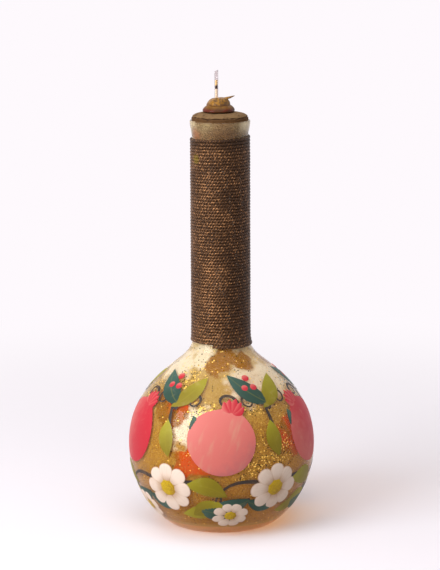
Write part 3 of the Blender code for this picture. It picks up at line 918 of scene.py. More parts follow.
def outer_stations(count=24):
    """The bottle's outside from the foot ring up to the lip, each point with the wall's thickness."""
    size = sizes()
    rise, throat, lip_length = size.shoulder_rise, size.throat_rise, size.lip_length
    out, up = Vector((1, 0)), Vector((0, 1))
    lean = Vector((-math.sin(size.shoulder_slope), math.cos(size.shoulder_slope)))
    foot = Vector((size.foot_radius, 0))
    belly = Vector((size.belly_radius, size.belly_height))
    shoulder = Vector((size.shoulder_radius, belly.y + rise))
    neck = Vector((size.neck_radius, shoulder.y + throat))
    flare = Vector((size.neck_radius, MOUTH_HEIGHT - lip_length))
    lip = Vector((size.neck_radius + size.lip_flare, MOUTH_HEIGHT - size.lip_wall / 2))
    # Each knot: its place, how far its handles reach down and up from it, and the wall there
    knots = (
        (foot, up * 0, out * HEEL_SHARE * (belly.x - foot.x), size.foot_wall),
        (belly, up * BELLY_LOWER_SHARE * belly.y, up * BELLY_UPPER_SHARE * rise, size.belly_wall),
        (shoulder, lean * SHOULDER_LOWER_SHARE * rise, lean * SHOULDER_UPPER_SHARE * throat, size.neck_wall),
        (neck, up * THROAT_SHARE * throat, (flare - neck) / 3, size.neck_wall),
        (flare, (flare - neck) / 3, up * LIP_LOWER_SHARE * lip_length, size.neck_wall),
        (lip, up * LIP_UPPER_SHARE * lip_length, up * 0, size.lip_wall),
    )
    stations = []
    for (start, unused, reach_up, start_wall), (end, reach_down, unused, end_wall) in zip(knots, knots[1:]):
        curve = interpolate_bezier(start, start + reach_up, end - reach_down, end, count)
        for point, wall in zip(curve, evenly(start_wall, end_wall, count - 1)):
            if not stations or (point - stations[-1][0]).length > MERGE_DISTANCE:
                stations.append((point, wall))
    return stations


def inner_outline():
    """The bottle's inside from the heel up to the lip: its outside, set in by the wall."""
    stations = outer_stations()
    outline = []
    for index, (point, wall) in enumerate(stations):
        before = stations[max(index - 1, 0)][0]
        after = stations[min(index + 1, len(stations) - 1)][0]
        along = (after - before).normalized()
        outline.append(point + Vector((-along.y, along.x)) * wall)
    return outline


class BottleSurface:
    """The outside of the bottle, on which paint is placed by azimuth and by arc length from the foot."""

    def __init__(self):
        self.points = [point for point, wall in outer_stations(60)]
        self.heights = [point.y for point in self.points]
        self.arcs = [0.0]
        for before, after in zip(self.points, self.points[1:]):
            self.arcs.append(self.arcs[-1] + (after - before).length)

    def arc_at(self, height):
        """The arc length from the foot up to a height."""
        return self.arcs[bisect.bisect_left(self.heights, height)]

    def radius_at(self, height):
        """The radius at a height."""
        index = min(max(bisect.bisect_left(self.heights, height), 1), len(self.points) - 1)
        low, high = self.points[index - 1], self.points[index]
        return low.x + (high.x - low.x) * (height - low.y) / (high.y - low.y)

    def point(self, azimuth, arc, lift):
        """The place on the bulb at an azimuth and an arc length, lifted along its normal."""
        index = min(max(bisect.bisect_left(self.arcs, arc), 1), len(self.arcs) - 1)
        low, high = self.points[index - 1], self.points[index]
        part = (arc - self.arcs[index - 1]) / (self.arcs[index] - self.arcs[index - 1])
        section = low.lerp(high, part)
        along = (high - low).normalized()
        section += Vector((along.y, -along.x)) * lift
        return Vector((section.x * math.sin(azimuth), -section.x * math.cos(azimuth), section.y))

    def radius(self, arc):
        """The radius at an arc length."""
        return self.point(0, arc, 0).xy.length


@cache
def bottle_surface():
    """The bottle's surface, worked out once."""
    return BottleSurface()


# Enamel


def dab_mesh(segments, rings):
    """A flat round dab of paint, one across from the middle to the rim, its height from -1 to 1."""
    # The rings crowd towards the rim, where the top rounds off
    crowding, edge_drop, edge_power = 1.6, 0.7, 8
    reach = [1 - (1 - share) ** crowding for share in evenly(0, 1, rings)]
    top = [(radius, 1 - edge_drop * radius**edge_power) for radius in reach]
    under = [(radius, -1) for radius in reversed(reach)]
    cage = bmesh.new()
    turn_outline(cage, top + under, segments)
    return unit_mesh(cage, "dab")


def stroke_mesh(segments, steps):
    """A straight stroke of paint along X from -1 to 1, with a round section one across."""
    cage = drum(segments, 1, 1, 2, Matrix.Rotation(math.pi / 2, 4, "Y"))
    long_edges = [edge for edge in cage.edges if edge.calc_length() > 1.9]
    bmesh.ops.subdivide_edges(cage, edges=long_edges, cuts=steps - 1, use_grid_fill=True)
    return unit_mesh(cage, "stroke")


def unit_mesh(cage, name):
    """A unit shape with its flat place kept in its UV map."""
    close_up(cage)
    layer = cage.loops.layers.uv.new("UVMap")
    for face in cage.faces:
        for loop in face.loops:
            loop[layer].uv = (0.5 + 0.5 * loop.vert.co.x, 0.5 + 0.5 * loop.vert.co.y)
    return as_mesh(cage, name)


class Enamel:
    """Paint of one colour on the bulb, laid on dab by dab."""

    def __init__(self, layer):
        self.cage = bmesh.new()
        self.shade = self.cage.verts.layers.float.new("shade")
        self.lift = garland().paint_layer * layer
        self.units = []

    def unit(self, maker, *counts):
        """A unit shape, kept until the piece is finished."""
        self.units.append(maker(*counts))
        return self.units[-1]

    def lay(self, unit, form, azimuth, arc, heading=0.0, shade=0.5, lift=1.0):
        """Lays a unit shape, shaped by a form, on the bulb at a place and heading."""
        surface = bottle_surface()
        before = len(self.cage.verts)
        self.cage.from_mesh(unit)
        self.cage.verts.ensure_lookup_table()
        turned = Matrix.Rotation(heading, 2)
        for vert in self.cage.verts[before:]:
            right, up = turned @ Vector(form(vert.co.x, vert.co.y))
            depth = vert.co.z * (self.lift * lift if vert.co.z > 0 else garland().paint_depth)
            here = arc + up
            vert.co = surface.point(azimuth + right / surface.radius(here), here, depth)
            vert[self.shade] = shade

    def finish(self, name, material_name, paint):
        """Makes the piece of all that was laid."""
        for mesh in self.units:
            bpy.data.meshes.remove(mesh)
        add_piece(name, self.cage, "bottle", [material(material_name, enamel, paint)])


# Forms, which take their sizes and then place a point of a unit shape


def leaf_form(reach, width, bend, x, y):
    """A pointed leaf from the origin along X, bent to one side."""
    round_off = math.sqrt(max(1 - x * x, 0))
    return reach * (x + 1) / 2, width / 2 * y * round_off + bend * (1 - x * x) * reach


def petal_form(reach, width, start, x, y):
    """A petal along X, narrow at its foot, that starts at a distance from the origin."""
    middle_share, widening = 0.78, 0.22
    return start + (reach - start) * (x + 1) / 2, width / 2 * y * (middle_share + widening * x)


def fruit_form(radius, x, y):
    """A round fruit with a slight neck under its crown, which points along X."""
    neck_rise, neck_spread, squat = 0.09, 0.34, 0.03
    turn = math.atan2(y, x)
    swell = 1 + neck_rise * math.exp(-((turn / neck_spread) ** 2)) - squat * math.cos(2 * turn)
    return radius * swell * x, radius * swell * y


def round_form(radius, ripple, x, y):
    """A disc with a rim that may ripple."""
    waves = 7
    swell = 1 + ripple * math.sin(waves * math.atan2(y, x))
    return radius * swell * x, radius * swell * y


def stroke_form(points, width, taper, x, y):
    """A stroke that follows points, its width going down to a share at its tip."""
    part = (x + 1) / 2 * (len(points) - 1)
    index = min(int(part), len(points) - 2)
    here = points[index].lerp(points[index + 1], part - index)
    before, after = points[max(index - 1, 0)], points[min(index + 2, len(points) - 1)]
    along = (after - before).normalized()
    half = width / 2 * (1 - (1 - taper) * (x + 1) / 2)
    return here + Vector((-along.y, along.x)) * half * y


def trail(reach, heading_start, curl, count=48):
    """Points of a line that starts at the origin and curls ever tighter."""
    tightening = 2.2
    points = [Vector((0, 0))]
    for index in range(count):
        part = (index + 0.5) / count
        heading = heading_start + curl * part**tightening
        points.append(points[-1] + Vector((math.cos(heading), math.sin(heading))) * reach / count)
    return points


def repeat_places():
    """The azimuth and the number of each repeat of the garland."""
    count = garland().repeats
    return [(2 * math.pi * index / count, index) for index in range(count)]


def between():
    """Half of the azimuth from one repeat to the next."""
    return math.pi / garland().repeats


def paint_fruits():
    """Round fruits with a crown of sepals, coral at the front and redder beside it."""
    size = garland()
    surface = bottle_surface()
    arc = surface.arc_at(size.fruit_height)
    crown_foot = 0.86 * size.fruit_radius
    sepal_width = 0.44 * size.crown_length
    # From one sepal to the next outwards: the turn, how much shorter it is, and its bend
    fan, shortening, bend = 0.36, 0.07, 0.05
    # How much redder the sepals are than their fruit, and how thick beside it
    redder, thickness = 0.6, 0.8
    # How far the fruits lean by turns, and the shades of the front one and of the others
    leans = (-0.34, 0.30)
    front_shade, red_shade, shade_change = 0.05, 0.75, 0.10
    fruits = Enamel(4)
    body = fruits.unit(dab_mesh, 56, 12)
    sepal = fruits.unit(dab_mesh, 24, 6)
    for azimuth, index in repeat_places():
        tilt = math.pi / 2 + leans[index % 2]
        shade = front_shade if index == 0 else red_shade + shade_change * (index % 3)
        foot = Vector((math.cos(tilt), math.sin(tilt))) * crown_foot
        spot = azimuth + foot.x / surface.radius(arc + foot.y)
        for side in (-2, -1, 0, 1, 2):
            reach = size.crown_length * (1 - shortening * abs(side))
            form = partial(leaf_form, reach, sepal_width, bend * side)
            red = min(shade + redder, 1)
            fruits.lay(sepal, form, spot, arc + foot.y, tilt + fan * side, red, thickness)
        fruits.lay(body, partial(fruit_form, size.fruit_radius), azimuth, arc, tilt, shade)
    fruits.finish("enamel_fruits", "enamel_fruit", fruit_paint)


def paint_daisies():
    """A daisy between each two fruits, with a smaller one by it."""
    size = garland()
    small_scale, small_side, small_height = 0.68, 0.52, 0.46 * size.daisy_height
    centre_share, petal_foot, ripple = 0.33, 0.26, 0.03
    # How far each flower is turned past the last one, and a smaller one past its neighbour
    turn, small_turn = 0.2, 0.3
    # How much the petals differ in length, and how much thicker every other one is
    raggedness, overlap = 0.05, 0.5
    petals = Enamel(3)
    centres = Enamel(6)
    petal = petals.unit(dab_mesh, 24, 6)
    centre = centres.unit(dab_mesh, 28, 6)
    flowers = []
    for azimuth, index in repeat_places():
        middle = azimuth + between()
        side = small_side if index % 2 else -small_side
        flowers.append((middle, size.daisy_height, 1.0, turn * index))
        flowers.append((middle + side, small_height, small_scale, small_turn + turn * index))
    for azimuth, height, scale, start in flowers:
        arc = bottle_surface().arc_at(height)
        reach = size.daisy_radius * scale
        width = 2 * math.pi * reach * size.petal_share / size.daisy_petals
        for number in range(size.daisy_petals):
            heading = start + 2 * math.pi * number / size.daisy_petals
            long = reach * (1 + raggedness * math.sin(5 * number + start))
            form = partial(petal_form, long, width, petal_foot * reach)
            shade = (number * GOLDEN_SHARE) % 1
            petals.lay(petal, form, azimuth, arc, heading, shade, 1.0 + overlap * (number % 2))
        centres.lay(centre, partial(round_form, centre_share * reach, ripple), azimuth, arc, start)
    petals.finish("enamel_petals", "enamel_petal", petal_paint)
    centres.finish("enamel_flower_centres", "enamel_centre", centre_paint)


def paint_leaves():
    """Paired dark and olive leaves above and below the flowers."""
    size = garland()
    # How far the shade moves on from repeat to repeat, and the steps of the leaves' thickness
    shade_change, overlap = 0.37, 0.25
    dark = Enamel(2)
    olive = Enamel(1.5)
    dark_unit = dark.unit(dab_mesh, 32, 8)
    olive_unit = olive.unit(dab_mesh, 32, 8)
    # Each leaf: is it dark, its azimuth's share of the half repeat, height, heading in degrees, size, bend
    sprays = (
        (True, 1.10, 0.0760, 128, 1.00, 0.10),
        (False, 0.90, 0.0745, 58, 0.92, -0.10),
        (False, 1.05, 0.0480, 98, 0.78, 0.06),
        (True, 0.52, 0.0250, 196, 1.00, 0.10),
        (True, 0.46, 0.0235, -14, 0.74, -0.10),
        (False, 0.10, 0.0270, 164, 0.92, -0.12),
        (False, -0.06, 0.0225, 205, 0.85, 0.10),
        (True, 0.30, 0.0100, 158, 0.90, -0.08),
        (False, 1.40, 0.0130, 24, 0.85, 0.10),
        (True, 1.52, 0.0560, 96, 0.62, -0.08),
    )
    for azimuth, index in repeat_places():
        for number, (is_dark, part, height, heading, scale, bend) in enumerate(sprays):
            leaves, unit = (dark, dark_unit) if is_dark else (olive, olive_unit)
            form = partial(leaf_form, size.leaf_length * scale, size.leaf_width * scale, bend)
            spot = azimuth + part * between()
            arc = bottle_surface().arc_at(height)
            shade = (shade_change * index + GOLDEN_SHARE * number) % 1
            leaves.lay(unit, form, spot, arc, math.radians(heading), shade, 1 + overlap * (number % 3))
    dark_paint = partial(leaf_paint, "dark_leaf", "blue_leaf")
    olive_paint = partial(leaf_paint, "olive_leaf", "olive_tip")
    dark.finish("enamel_dark_leaves", "enamel_dark_leaf", dark_paint)
    olive.finish("enamel_olive_leaves", "enamel_olive_leaf", olive_paint)


def paint_stems():
    """Curling tendrils on the shoulder and curved stems below the fruits, with berries."""
    size = garland()
    surface = bottle_surface()
    stems = Enamel(1)
    berries = Enamel(3)
    stroke = stems.unit(stroke_mesh, 8, 48)
    berry = berries.unit(dab_mesh, 16, 4)
    round_berry = partial(round_form, size.berry_radius, 0.0)
    stem_tip = 0.35
    # Each stroke: its azimuth's share of the half repeat, height, reach, heading in degrees, curl, width
    strokes = (
        (1.00, 0.0560, 0.0260, 92, 0.3, 1.2),
        (1.02, 0.0740, 0.0300, 70, -6.0, 0.9),
        (0.98, 0.0740, 0.0300, 112, 6.0, 0.9),
        (0.34, 0.0700, 0.0340, 80, 7.4, 1.0),
        (0.84, 0.0330, 0.0400, 166, 2.4, 1.1),
        (1.16, 0.0330, 0.0380, 14, -2.8, 1.1),
        (0.52, 0.0250, 0.0180, 200, -1.0, 0.9),
    )
    for azimuth, index in repeat_places():
        for part, height, reach, heading, curl, width in strokes:
            points = trail(reach, math.radians(heading), curl)
            form = partial(stroke_form, points, size.stem_width * width, stem_tip)
            stems.lay(stroke, form, azimuth + part * between(), surface.arc_at(height))
        for part, height in ((0.60, 0.0850), (0.72, 0.0895), (0.84, 0.0850)):
            berries.lay(berry, round_berry, azimuth + part * between(), surface.arc_at(height), shade=0.9)
    stems.finish("enamel_stems", "enamel_stem", stem_paint)
    berries.finish("enamel_berries", "enamel_berry", fruit_paint)


# Operators


class BOTTLE_OT_stage(bpy.types.Operator):
    """Adds the studio floor, its backdrop, the lamps and the camera"""

    bl_idname = "bottle.stage"
    bl_label = "Studio"

    def execute(self, context):
        """Builds the studio."""
        context.scene.view_settings.view_transform = "Standard"
        self.add_floor()
        self.light_world(context)
        self.add_lamp("key_softbox", azimuth=-50, rise=24, distance=1.4, width=0.92, watts=16.0)
        self.add_lamp("top_softbox", azimuth=-12, rise=70, distance=1.5, width=1.8, watts=14.2)
        self.add_camera(context)
        return {"FINISHED"}

    @staticmethod
    def add_floor():
        """The floor runs back and sweeps up into the backdrop."""
        curve_start = FLOOR_BACK - FLOOR_SWEEP
        outline = [(-FLOOR_REACH, -FLOOR_DROP), (curve_start, -FLOOR_DROP)]
        sweep_steps = 12
        for turn in evenly(0, math.pi / 2, sweep_steps)[1:]:
            outline.append((curve_start + FLOOR_SWEEP * math.sin(turn), FLOOR_SWEEP * (1 - math.cos(turn))))
        outline.append((FLOOR_BACK, FLOOR_RISE))
        cage = bmesh.new()
        verts = [cage.verts.new((-FLOOR_REACH, back, height)) for back, height in outline]
        edges = [cage.edges.new(pair) for pair in zip(verts, verts[1:])]
        swept = bmesh.ops.extrude_edge_only(cage, edges=edges)["geom"]
        moved = [item for item in swept if isinstance(item, bmesh.types.BMVert)]
        bmesh.ops.translate(cage, verts=moved, vec=(2 * FLOOR_REACH, 0, 0))
        bmesh.ops.recalc_face_normals(cage, faces=cage.faces)
        mesh = as_mesh(cage, "studio_floor")
        mesh.shade_smooth()
        mesh.materials.append(material("studio_paper", studio_paper))
        floor = add_object("studio_floor", mesh)

    @staticmethod
    def light_world(context):
        """An even pale world, seen as the backdrop's colour."""
        world = bpy.data.worlds.new("studio")
        context.scene.world = world
        shader = Shader(world)
        seen = shader.ray(*SEEING_RAYS)
        values = {
            "Color": shader.mix(seen, (1, 1, 1, 1), "backdrop"),
            "Strength": WORLD_STRENGTH + (1 - WORLD_STRENGTH) * seen,
        }
        shader.show("ShaderNodeOutputWorld", shader.node("ShaderNodeBackground", values=values))

    @staticmethod
    def add_lamp(name, azimuth, rise, distance, width, watts):
        """A square softbox that faces the bulb, from an azimuth and a rise in degrees."""
        lamp = bpy.data.lights.new(name, "AREA")
        lamp.shape = "SQUARE"
        lamp.size = width
        lamp.energy = watts
        made = add_object(name, lamp)
        side, up = math.radians(azimuth), math.radians(rise)
        away = Vector((math.sin(side) * math.cos(up), -math.cos(side) * math.cos(up), math.sin(up)))
        made.location = LAMP_TARGET + away * distance
        made.rotation_euler = away.to_track_quat("Z", "Y").to_euler()

    @staticmethod
    def add_camera(context):
        """The camera looks down a little from the front."""
        camera = bpy.data.cameras.new("camera")
        camera.lens = CAMERA_LENS
        camera.sensor_width = CAMERA_SENSOR
        camera.clip_start = CAMERA_NEAR
        made = add_object("camera", camera)
        made.location = CAMERA_PLACE
        made.rotation_euler = CAMERA_TURN
        context.scene.camera = made


class BOTTLE_OT_glass(bpy.types.Operator):
    """Adds the blown glass bottle with its amber and gold lining"""

    bl_idname = "bottle.glass"
    bl_label = "Blown Glass"
    punt_steps = 9
    rim_steps = 5

    def execute(self, context):
        """Turns the bottle's wall from its inside and its outside."""
        inside = self.dome(sizes().foot_wall) + inner_outline()[:-1] + self.rim(0.5, 1.0)
        outside = self.rim(0.0, 0.5) + [point for point, wall in reversed(outer_stations())]
        outside += reversed(self.dome(0.0))
        cage = bmesh.new()
        turn_outline(cage, inside, slot=1)
        turn_outline(cage, outside)
        close_up(cage)
        materials = [material("blown_glass", blown_glass), material("lined_glass", lined_glass)]
        add_piece("blown_bottle", cage, "bottle", materials, ["glass_bottle"])
        return {"FINISHED"}

    def dome(self, base):
        """Points of the shallow punt from its middle to its rim, over a base height."""
        size = sizes()
        turns = evenly(0, math.pi / 2, self.punt_steps)
        radii = evenly(0, size.punt_radius, self.punt_steps)
        return [(radius, base + size.punt_depth * math.cos(turn)) for radius, turn in zip(radii, turns)]

    def rim(self, start, end):
        """Part of the rounded rim, from a turn nearer the mouth's inside to one nearer the outside."""
        size = sizes()
        radius = size.lip_wall / 2
        middle = Vector((size.neck_radius + size.lip_flare - radius, MOUTH_HEIGHT - radius))
        turns = [math.pi * share for share in evenly(end, start, self.rim_steps)]
        return [middle + radius * Vector((math.cos(turn), math.sin(turn))) for turn in turns]


class BOTTLE_OT_enamel(bpy.types.Operator):
    """Paints the garland on the bulb"""

    bl_idname = "bottle.enamel"
    bl_label = "Enamelled Garland"

    def execute(self, context):
        """Lays the stems first, then leaves, flowers and fruits over them."""
        paint_stems()
        paint_leaves()
        paint_daisies()
        paint_fruits()
        return {"FINISHED"}


class BOTTLE_OT_binding(bpy.types.Operator):
    """Winds the cord round the neck"""

    bl_idname = "bottle.binding"
    bl_label = "Cord Binding"
    steps = 64
    sides = 10
    # Half of a turn's height as a share of the pitch
    squeeze = 0.485
    # How far the lie of the turns wanders up and out, and how far the low end stands out
    wander = 0.00016
    unevenness = 0.00006
    low_swell = 0.00025
    unevenness_grain = 0.005
    wander_grain = 0.009
    # Each end's creep in shares of the creep: round the whole neck, and more at its right-hand side
    high_creep = (1.1, 0.4)
    low_creep = (1.4, 1.2)

    def execute(self, context):
        """Spins one turn of the cord, stacks whole turns up the neck and settles them."""
        size = sizes()
        pitch = size.cord_pitch
        start = BINDING_BOTTOM + pitch / 2
        middle = size.neck_radius + size.cord_depth / 2
        whole, rest = divmod((BINDING_TOP - BINDING_BOTTOM) / pitch - 1, 1)
        turn = self.wind_turn(start, middle, self.steps)
        last = self.wind_turn(start, middle, round(rest * self.steps))
        cage = bmesh.new()
        for index, wound in enumerate([turn] * int(whole) + [last]):
            before = len(cage.verts)
            cage.from_mesh(wound)
            cage.verts.ensure_lookup_table()
            bmesh.ops.translate(cage, verts=cage.verts[before:], vec=(0, 0, pitch * index))
        bpy.data.meshes.remove(turn)
        bpy.data.meshes.remove(last)
        bmesh.ops.remove_doubles(cage, verts=cage.verts, dist=MERGE_DISTANCE)
        bmesh.ops.holes_fill(cage, edges=[edge for edge in cage.edges if edge.is_boundary])
        self.map_cord(cage, start, middle, pitch)
        turned = Matrix.Rotation(size.cord_start, 3, "Z")
        bmesh.ops.rotate(cage, verts=cage.verts, cent=(0, 0, 0), matrix=turned)
        self.settle(cage, size)
        bmesh.ops.recalc_face_normals(cage, faces=cage.faces)
        materials = [material("bronze_cord", bronze_cord)]
        add_piece("wound_cord", cage, "bottle", materials, ["neck_cord"])
        return {"FINISHED"}

    def wind_turn(self, start, middle, steps):
        """One turn of the cord or the first steps of it, spun from its section."""
        size = sizes()
        cage = bmesh.new()
        section = bmesh.ops.create_circle(cage, segments=self.sides, radius=1)["verts"]
        for vert in section:
            out = middle + vert.co.x * size.cord_depth / 2
            vert.co = Vector((out, 0, start + vert.co.y * self.squeeze * size.cord_pitch))
        bmesh.ops.spin(
            cage,
            geom=section + list(cage.edges),
            axis=(0, 0, 1),
            cent=(0, 0, 0),
            dvec=(0, 0, size.cord_pitch / self.steps),
            angle=2 * math.pi * steps / self.steps,
            steps=steps,
        )
        return as_mesh(cage, "turn")

    @staticmethod
    def map_cord(cage, start, middle, pitch):
        """Keeps the length along the cord in U, in metres, and the share of a turn round it in V."""
        layer = cage.loops.layers.uv.new("UVMap")
        for face in cage.faces:
            first = None
            for loop in face.loops:
                place = loop.vert.co
                turned = math.atan2(place.y, place.x) / (2 * math.pi)
                turn = turned + round((place.z - start) / pitch - turned)
                around = math.atan2(place.z - start - pitch * turn, middle - place.xy.length) / (2 * math.pi)
                if first is None:
                    first = around
                around += round(first - around)
                loop[layer].uv = (turn * 2 * math.pi * middle, around)

    def settle(self, cage, size):
        """Spreads the lowest turns over the throat, tilts both ends and makes the turns uneven."""
        surface = bottle_surface()
        high_all, high_right = self.high_creep
        low_all, low_right = self.low_creep
        for vert in cage.verts:
            height = vert.co.z
            radius = vert.co.xy.length
            low = max(0, 1 - (height - BINDING_BOTTOM) / size.cord_swell) ** 2
            high = max(0, 1 - (BINDING_TOP - height) / size.cord_swell) ** 2
            side = vert.co.x / radius
            lumps = noise.noise(vert.co / self.unevenness_grain)
            ripple = noise.noise(vert.co / self.wander_grain + Vector((7, 7, 7)))
            # Both ends creep outwards along the neck
            creep = high * (high_all + high_right * side) - low * (low_all + low_right * side)
            vert.co.z += size.cord_creep * creep
            vert.co.z += self.wander * ripple
            under = height if height > MOUTH_HEIGHT / 2 else vert.co.z
            spread = max(surface.radius_at(under) - size.neck_radius, 0) if under < MOUTH_HEIGHT / 2 else 0
            vert.co.xy *= (radius + spread + self.low_swell * low + self.unevenness * lumps) / radius


class BOTTLE_OT_cork(bpy.types.Operator):
    """Adds the old cork in the mouth"""

    bl_idname = "bottle.cork"
    bl_label = "Cork"
    # How far the side is sunk into the glass, and the gap round the foot
    sunk = 0.00003
    foot_gap = 0.0004
    # The crack's rise over the mouth, its wander, its width and the grain of both
    crack_rise = 0.0021
    crack_wander = 0.0006
    crack_width = 0.0003
    crack_grain = 0.004
    # The chips' depth, the least noise that makes one, and the share of the radius where they start
    chip_depth = 0.0012
    least_chip = 0.15
    chip_start = 0.75
    # The crown's roughness, its grain, and over the mouth where it starts and how soon it is full
    roughness = 0.00012
    rough_grain = 0.0015
    rough_start = 0.0002
    rough_rise = 0.001
    # The middle that stays whole, and the outline's steps
    whole_radius = 0.001
    seat_steps = 8
    crown_steps = 32
    edge_steps = 8
    foot_steps = 5

    def execute(self, context):
        """Turns the cork, cracks its edge and roughens its crown."""
        inside = [point for point in inner_outline() if CORK_BOTTOM < point.y]
        mouth = inside[-1].x + self.sunk
        edge = MOUTH_HEIGHT + sizes().cork_edge
        foot = sizes().neck_radius - sizes().neck_wall - self.foot_gap
        upright = [(mouth, height) for height in evenly(edge, inside[-1].y, self.edge_steps)[1:-1]]
        side = [(point.x + self.sunk, point.y) for point in reversed(inside)]
        bottom = [(foot * share, CORK_BOTTOM) for share in evenly(1, 0, self.foot_steps)]
        cage = bmesh.new()
        turn_outline(cage, self.crown(mouth, edge) + upright + side + bottom)
        close_up(cage)
        self.crack(cage, mouth)
        add_piece("old_cork", cage, "stopper", [material("old_cork", old_cork)], ["cork_stopper"])
        return {"FINISHED"}

    def crown(self, mouth, edge):
        """The crown's outline from its middle over the wax's seat down to the upright edge."""
        seat = sizes().cork_seat
        outline = [(radius, CORK_TOP) for radius in evenly(0, seat, self.seat_steps)[:-1]]
        for turn in evenly(0, math.pi / 2, self.crown_steps):
            fall = (CORK_TOP - edge) * (1 - math.cos(turn))
            outline.append((seat + (mouth - seat) * math.sin(turn), CORK_TOP - fall))
        return outline

    def crack(self, cage, mouth):
        """Cuts a ragged crack round the standing edge, chips it and roughens the crown."""
        depth = sizes().crack_depth
        cracked = cage.verts.layers.float.new("crack")
        for vert in cage.verts:
            radius = vert.co.xy.length
            over = vert.co.z - MOUTH_HEIGHT
            if over < self.rough_start or radius < self.whole_radius:
                continue
            around = Vector((vert.co.x, vert.co.y, 0)) / self.crack_grain
            offset = over - self.crack_rise - self.crack_wander * noise.noise(around)
            groove = math.exp(-((offset / self.crack_width) ** 2)) * (0.8 + 0.7 * noise.noise(around * 2))
            vert[cracked] = groove
            chip = max(0, noise.noise(around * 1.3 + Vector((5, 5, 5))) - self.least_chip)
            rim = max(0, (radius - self.chip_start * mouth) / ((1 - self.chip_start) * mouth))
            rough = noise.noise(vert.co / self.rough_grain) - 1
            vert.co.xy *= 1 - (depth * groove + self.chip_depth * chip * rim) / radius
            vert.co.z += self.roughness * rough * min(1, (over - self.rough_start) / self.rough_rise)


def lump(radius, height, rings, sides, lean, wobble):
    """A coarse cage for a melted lump: a low drum, its top face drawn up through the rings."""
    (first_rise, first_spread), (next_rise, spread), *others = rings
    depth = height * (next_rise - first_rise)
    cage = drum(sides, radius * first_spread, radius * spread, depth, Matrix.Translation((0, 0, depth / 2)))
    top = max(cage.faces, key=lambda face: face.calc_center_median().z)
    for rise, next_spread in others:
        top = draw_out(cage, top, Vector((lean * rise, 0, height * rise)), next_spread / spread)
        spread = next_spread
    for vert in cage.verts:
        turn = math.atan2(vert.co.y, vert.co.x)
        vert.co.xy *= 1 + wobble * math.sin(3 * turn + vert.co.z / height)
    return cage


def draw_out(cage, face, centre, spread):
    """Extrudes one face of a cage to a new centre, scales it by its spread and gives it back."""
    drawn = bmesh.ops.extrude_discrete_faces(cage, faces=[face])["faces"][0]
    middle = drawn.calc_center_median()
    for vert in drawn.verts:
        vert.co = centre + (vert.co - middle) * spread
    return drawn


def add_lump(name, cage, place, look, node, levels):
    """Sets a lump's cage in its place and rounds it with a Subdivision Surface."""
    bmesh.ops.translate(cage, verts=cage.verts, vec=place)
    close_up(cage)
    piece = add_piece(name, cage, "stopper", [look], [node])
    rounding = piece.modifiers.new("Round", "SUBSURF")
    rounding.levels = levels
    rounding.render_levels = levels


class BOTTLE_OT_wax(bpy.types.Operator):
    """Adds the collar of sealing wax on the cork"""

    bl_idname = "bottle.wax"
    bl_label = "Wax Collar"

    def execute(self, context):
        """Draws up the collar and makes it uneven."""
        size = sizes()
        sunk = 0.0003
        height = size.wax_height + sunk
        cage = lump(size.wax_radius, height, WAX_RING_SHARES, sides=20, lean=0.0003, wobble=0.03)
        weather(cage, reach=0.0009, grain=0.0034, shift=3.0)
        place = (-size.wax_offset, 0, WAX_LOW[2] - sunk)
        look = material("sealing_wax", sealing_wax)
        add_lump("wax_ring", cage, place, look, "wax_collar", levels=3)
        return {"FINISHED"}


class BOTTLE_OT_resin(bpy.types.Operator):
    """Adds the cap of amber resin with its drawn-out spike"""

    bl_idname = "bottle.resin"
    bl_label = "Resin Cap"

    def execute(self, context):
        """Draws up the cap, then the spike out of its right side."""
        size = sizes()
        height = size.resin_height + size.resin_run
        cage = lump(size.resin_radius, height, RESIN_RING_SHARES, sides=14, lean=0.0003, wobble=0.05)
        weather(cage, reach=0.0009, grain=0.0026, shift=11.0)
        self.draw_spike(cage, RESIN_RING_SHARES[-2][0] * height)
        place = (-size.resin_offset, 0, RESIN_LOW[2] - size.resin_run)
        look = material("amber_resin", amber_resin)
        add_lump("resin_lump", cage, place, look, "resin_cap", levels=4)
        return {"FINISHED"}

    @staticmethod
    def draw_spike(cage, low):
        """Draws a thin spike out of the cage's right side, above a low limit."""
        size = sizes()
        upper = [face for face in cage.faces if face.calc_center_median().z > low]
        face = max(upper, key=lambda candidate: candidate.calc_center_median().x)
        start = face.calc_center_median()
        for reach, rise, spread in SPIKE_SHARES:
            place = start + Vector((size.spike_reach * reach, 0, size.spike_lift * rise))
            face = draw_out(cage, face, place, spread)


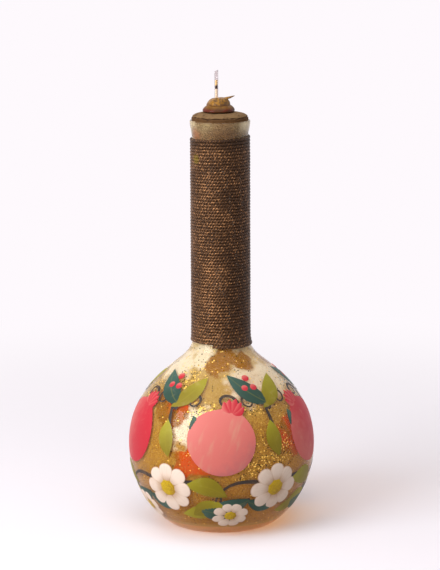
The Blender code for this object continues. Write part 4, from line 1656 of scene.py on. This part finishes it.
class BOTTLE_OT_tube(bpy.types.Operator):
    """Adds the fine glass tube and what fills it"""

    bl_idname = "bottle.tube"
    bl_label = "Glass Tube"
    sides = 32
    # The cut of the tube's corners, and how far its fillings are sunk into its glass
    corner = 0.00008
    sunk = 0.00002

    def execute(self, context):
        """Turns the tube, slopes its broken end and fills its bore."""
        size = sizes()
        bore = TUBE_RADIUS - size.tube_wall
        slope = math.tan(size.tube_slope)
        top = TUBE_HIGH[2] - TUBE_RADIUS * slope
        bottom = TUBE_LOW[2]
        corner = self.corner
        outline = [
            (bore, bottom + corner),
            (bore + corner, bottom),
            (TUBE_RADIUS - corner, bottom),
            (TUBE_RADIUS, bottom + corner),
            (TUBE_RADIUS, top - corner),
            (TUBE_RADIUS - corner, top),
            (bore + corner, top),
            (bore, top - corner),
            (bore, bottom + corner),
        ]
        cage = bmesh.new()
        turn_outline(cage, outline, self.sides)
        close_up(cage)
        for vert in cage.verts:
            if vert.co.z > top - 2 * corner:
                vert.co.z += vert.co.x * slope
            vert.co.x += TUBE_X
        look = material("drawn_glass", drawn_glass)
        add_piece("fine_tube", cage, "stopper", [look], ["glass_tube"])
        plug_slope = math.tan(size.plug_slope)
        self.fill("pale_column", COLUMN_LOW, COLUMN_HIGH, 0, 0, "column", "tube_column")
        self.fill("dark_plug", PLUG_LOW, PLUG_HIGH, 0, plug_slope, "plug", "tube_plug")
        self.fill("amber_bead", BEAD_LOW, BEAD_HIGH, plug_slope, 0, "bead", "tube_bead")
        return {"FINISHED"}

    def fill(self, name, low, high, foot_slope, top_slope, colour_name, node):
        """One length of what fills the bore, against its glass, each end level or at a slope."""
        radius = TUBE_RADIUS - sizes().tube_wall + self.sunk
        inner = (high[0] - low[0]) / 2
        foot = low[2] + foot_slope * inner
        top = high[2] - top_slope * inner
        middle = (top + foot) / 2
        cage = drum(self.sides, radius, radius, top - foot, Matrix.Translation((0, 0, middle)))
        for vert in cage.verts:
            vert.co.z += vert.co.x * (top_slope if vert.co.z > middle else foot_slope)
            vert.co.x += TUBE_X
        add_piece(name, cage, "stopper", [material(name, filling, colour_name)], [node])


class BOTTLE_PT_pieces(bpy.types.Panel):
    """Lists what builds the bottle"""

    bl_idname = "BOTTLE_PT_pieces"
    bl_label = "Decorative Bottle"
    bl_space_type = "VIEW_3D"
    bl_region_type = "UI"
    bl_category = "Bottle"

    def draw(self, context):
        """Draws a button for each operator, then the sizes and colours."""
        for operator in OPERATORS:
            self.layout.operator(operator.bl_idname)
        for group in (context.scene.bottle_sizes, context.scene.bottle_garland, context.scene.bottle_colours):
            box = self.layout.box()
            for name in group.bl_rna.properties.keys():
                if name not in ("rna_type", "name"):
                    box.prop(group, name)


GROUPS = (BottleSizes, GarlandSizes, BottleColours)
OPERATORS = (
    BOTTLE_OT_stage,
    BOTTLE_OT_binding,
    BOTTLE_OT_glass,
    BOTTLE_OT_enamel,
    BOTTLE_OT_cork,
    BOTTLE_OT_wax,
    BOTTLE_OT_resin,
    BOTTLE_OT_tube,
)


def register():
    """Registers the groups, the operators and the panel."""
    for kind in (*GROUPS, *OPERATORS, BOTTLE_PT_pieces):
        bpy.utils.register_class(kind)
    bpy.types.Scene.bottle_sizes = bpy.props.PointerProperty(type=BottleSizes)
    bpy.types.Scene.bottle_garland = bpy.props.PointerProperty(type=GarlandSizes)
    bpy.types.Scene.bottle_colours = bpy.props.PointerProperty(type=BottleColours)


def unregister():
    """Takes them all out again."""
    del bpy.types.Scene.bottle_colours
    del bpy.types.Scene.bottle_garland
    del bpy.types.Scene.bottle_sizes
    for kind in (BOTTLE_PT_pieces, *reversed(OPERATORS), *reversed(GROUPS)):
        bpy.utils.unregister_class(kind)


def main():
    """Builds every piece in order."""
    register()
    bpy.ops.bottle.stage()
    bpy.ops.bottle.binding()
    bpy.ops.bottle.glass()
    bpy.ops.bottle.enamel()
    bpy.ops.bottle.cork()
    bpy.ops.bottle.wax()
    bpy.ops.bottle.resin()
    bpy.ops.bottle.tube()


if __name__ == "__main__":
    main()
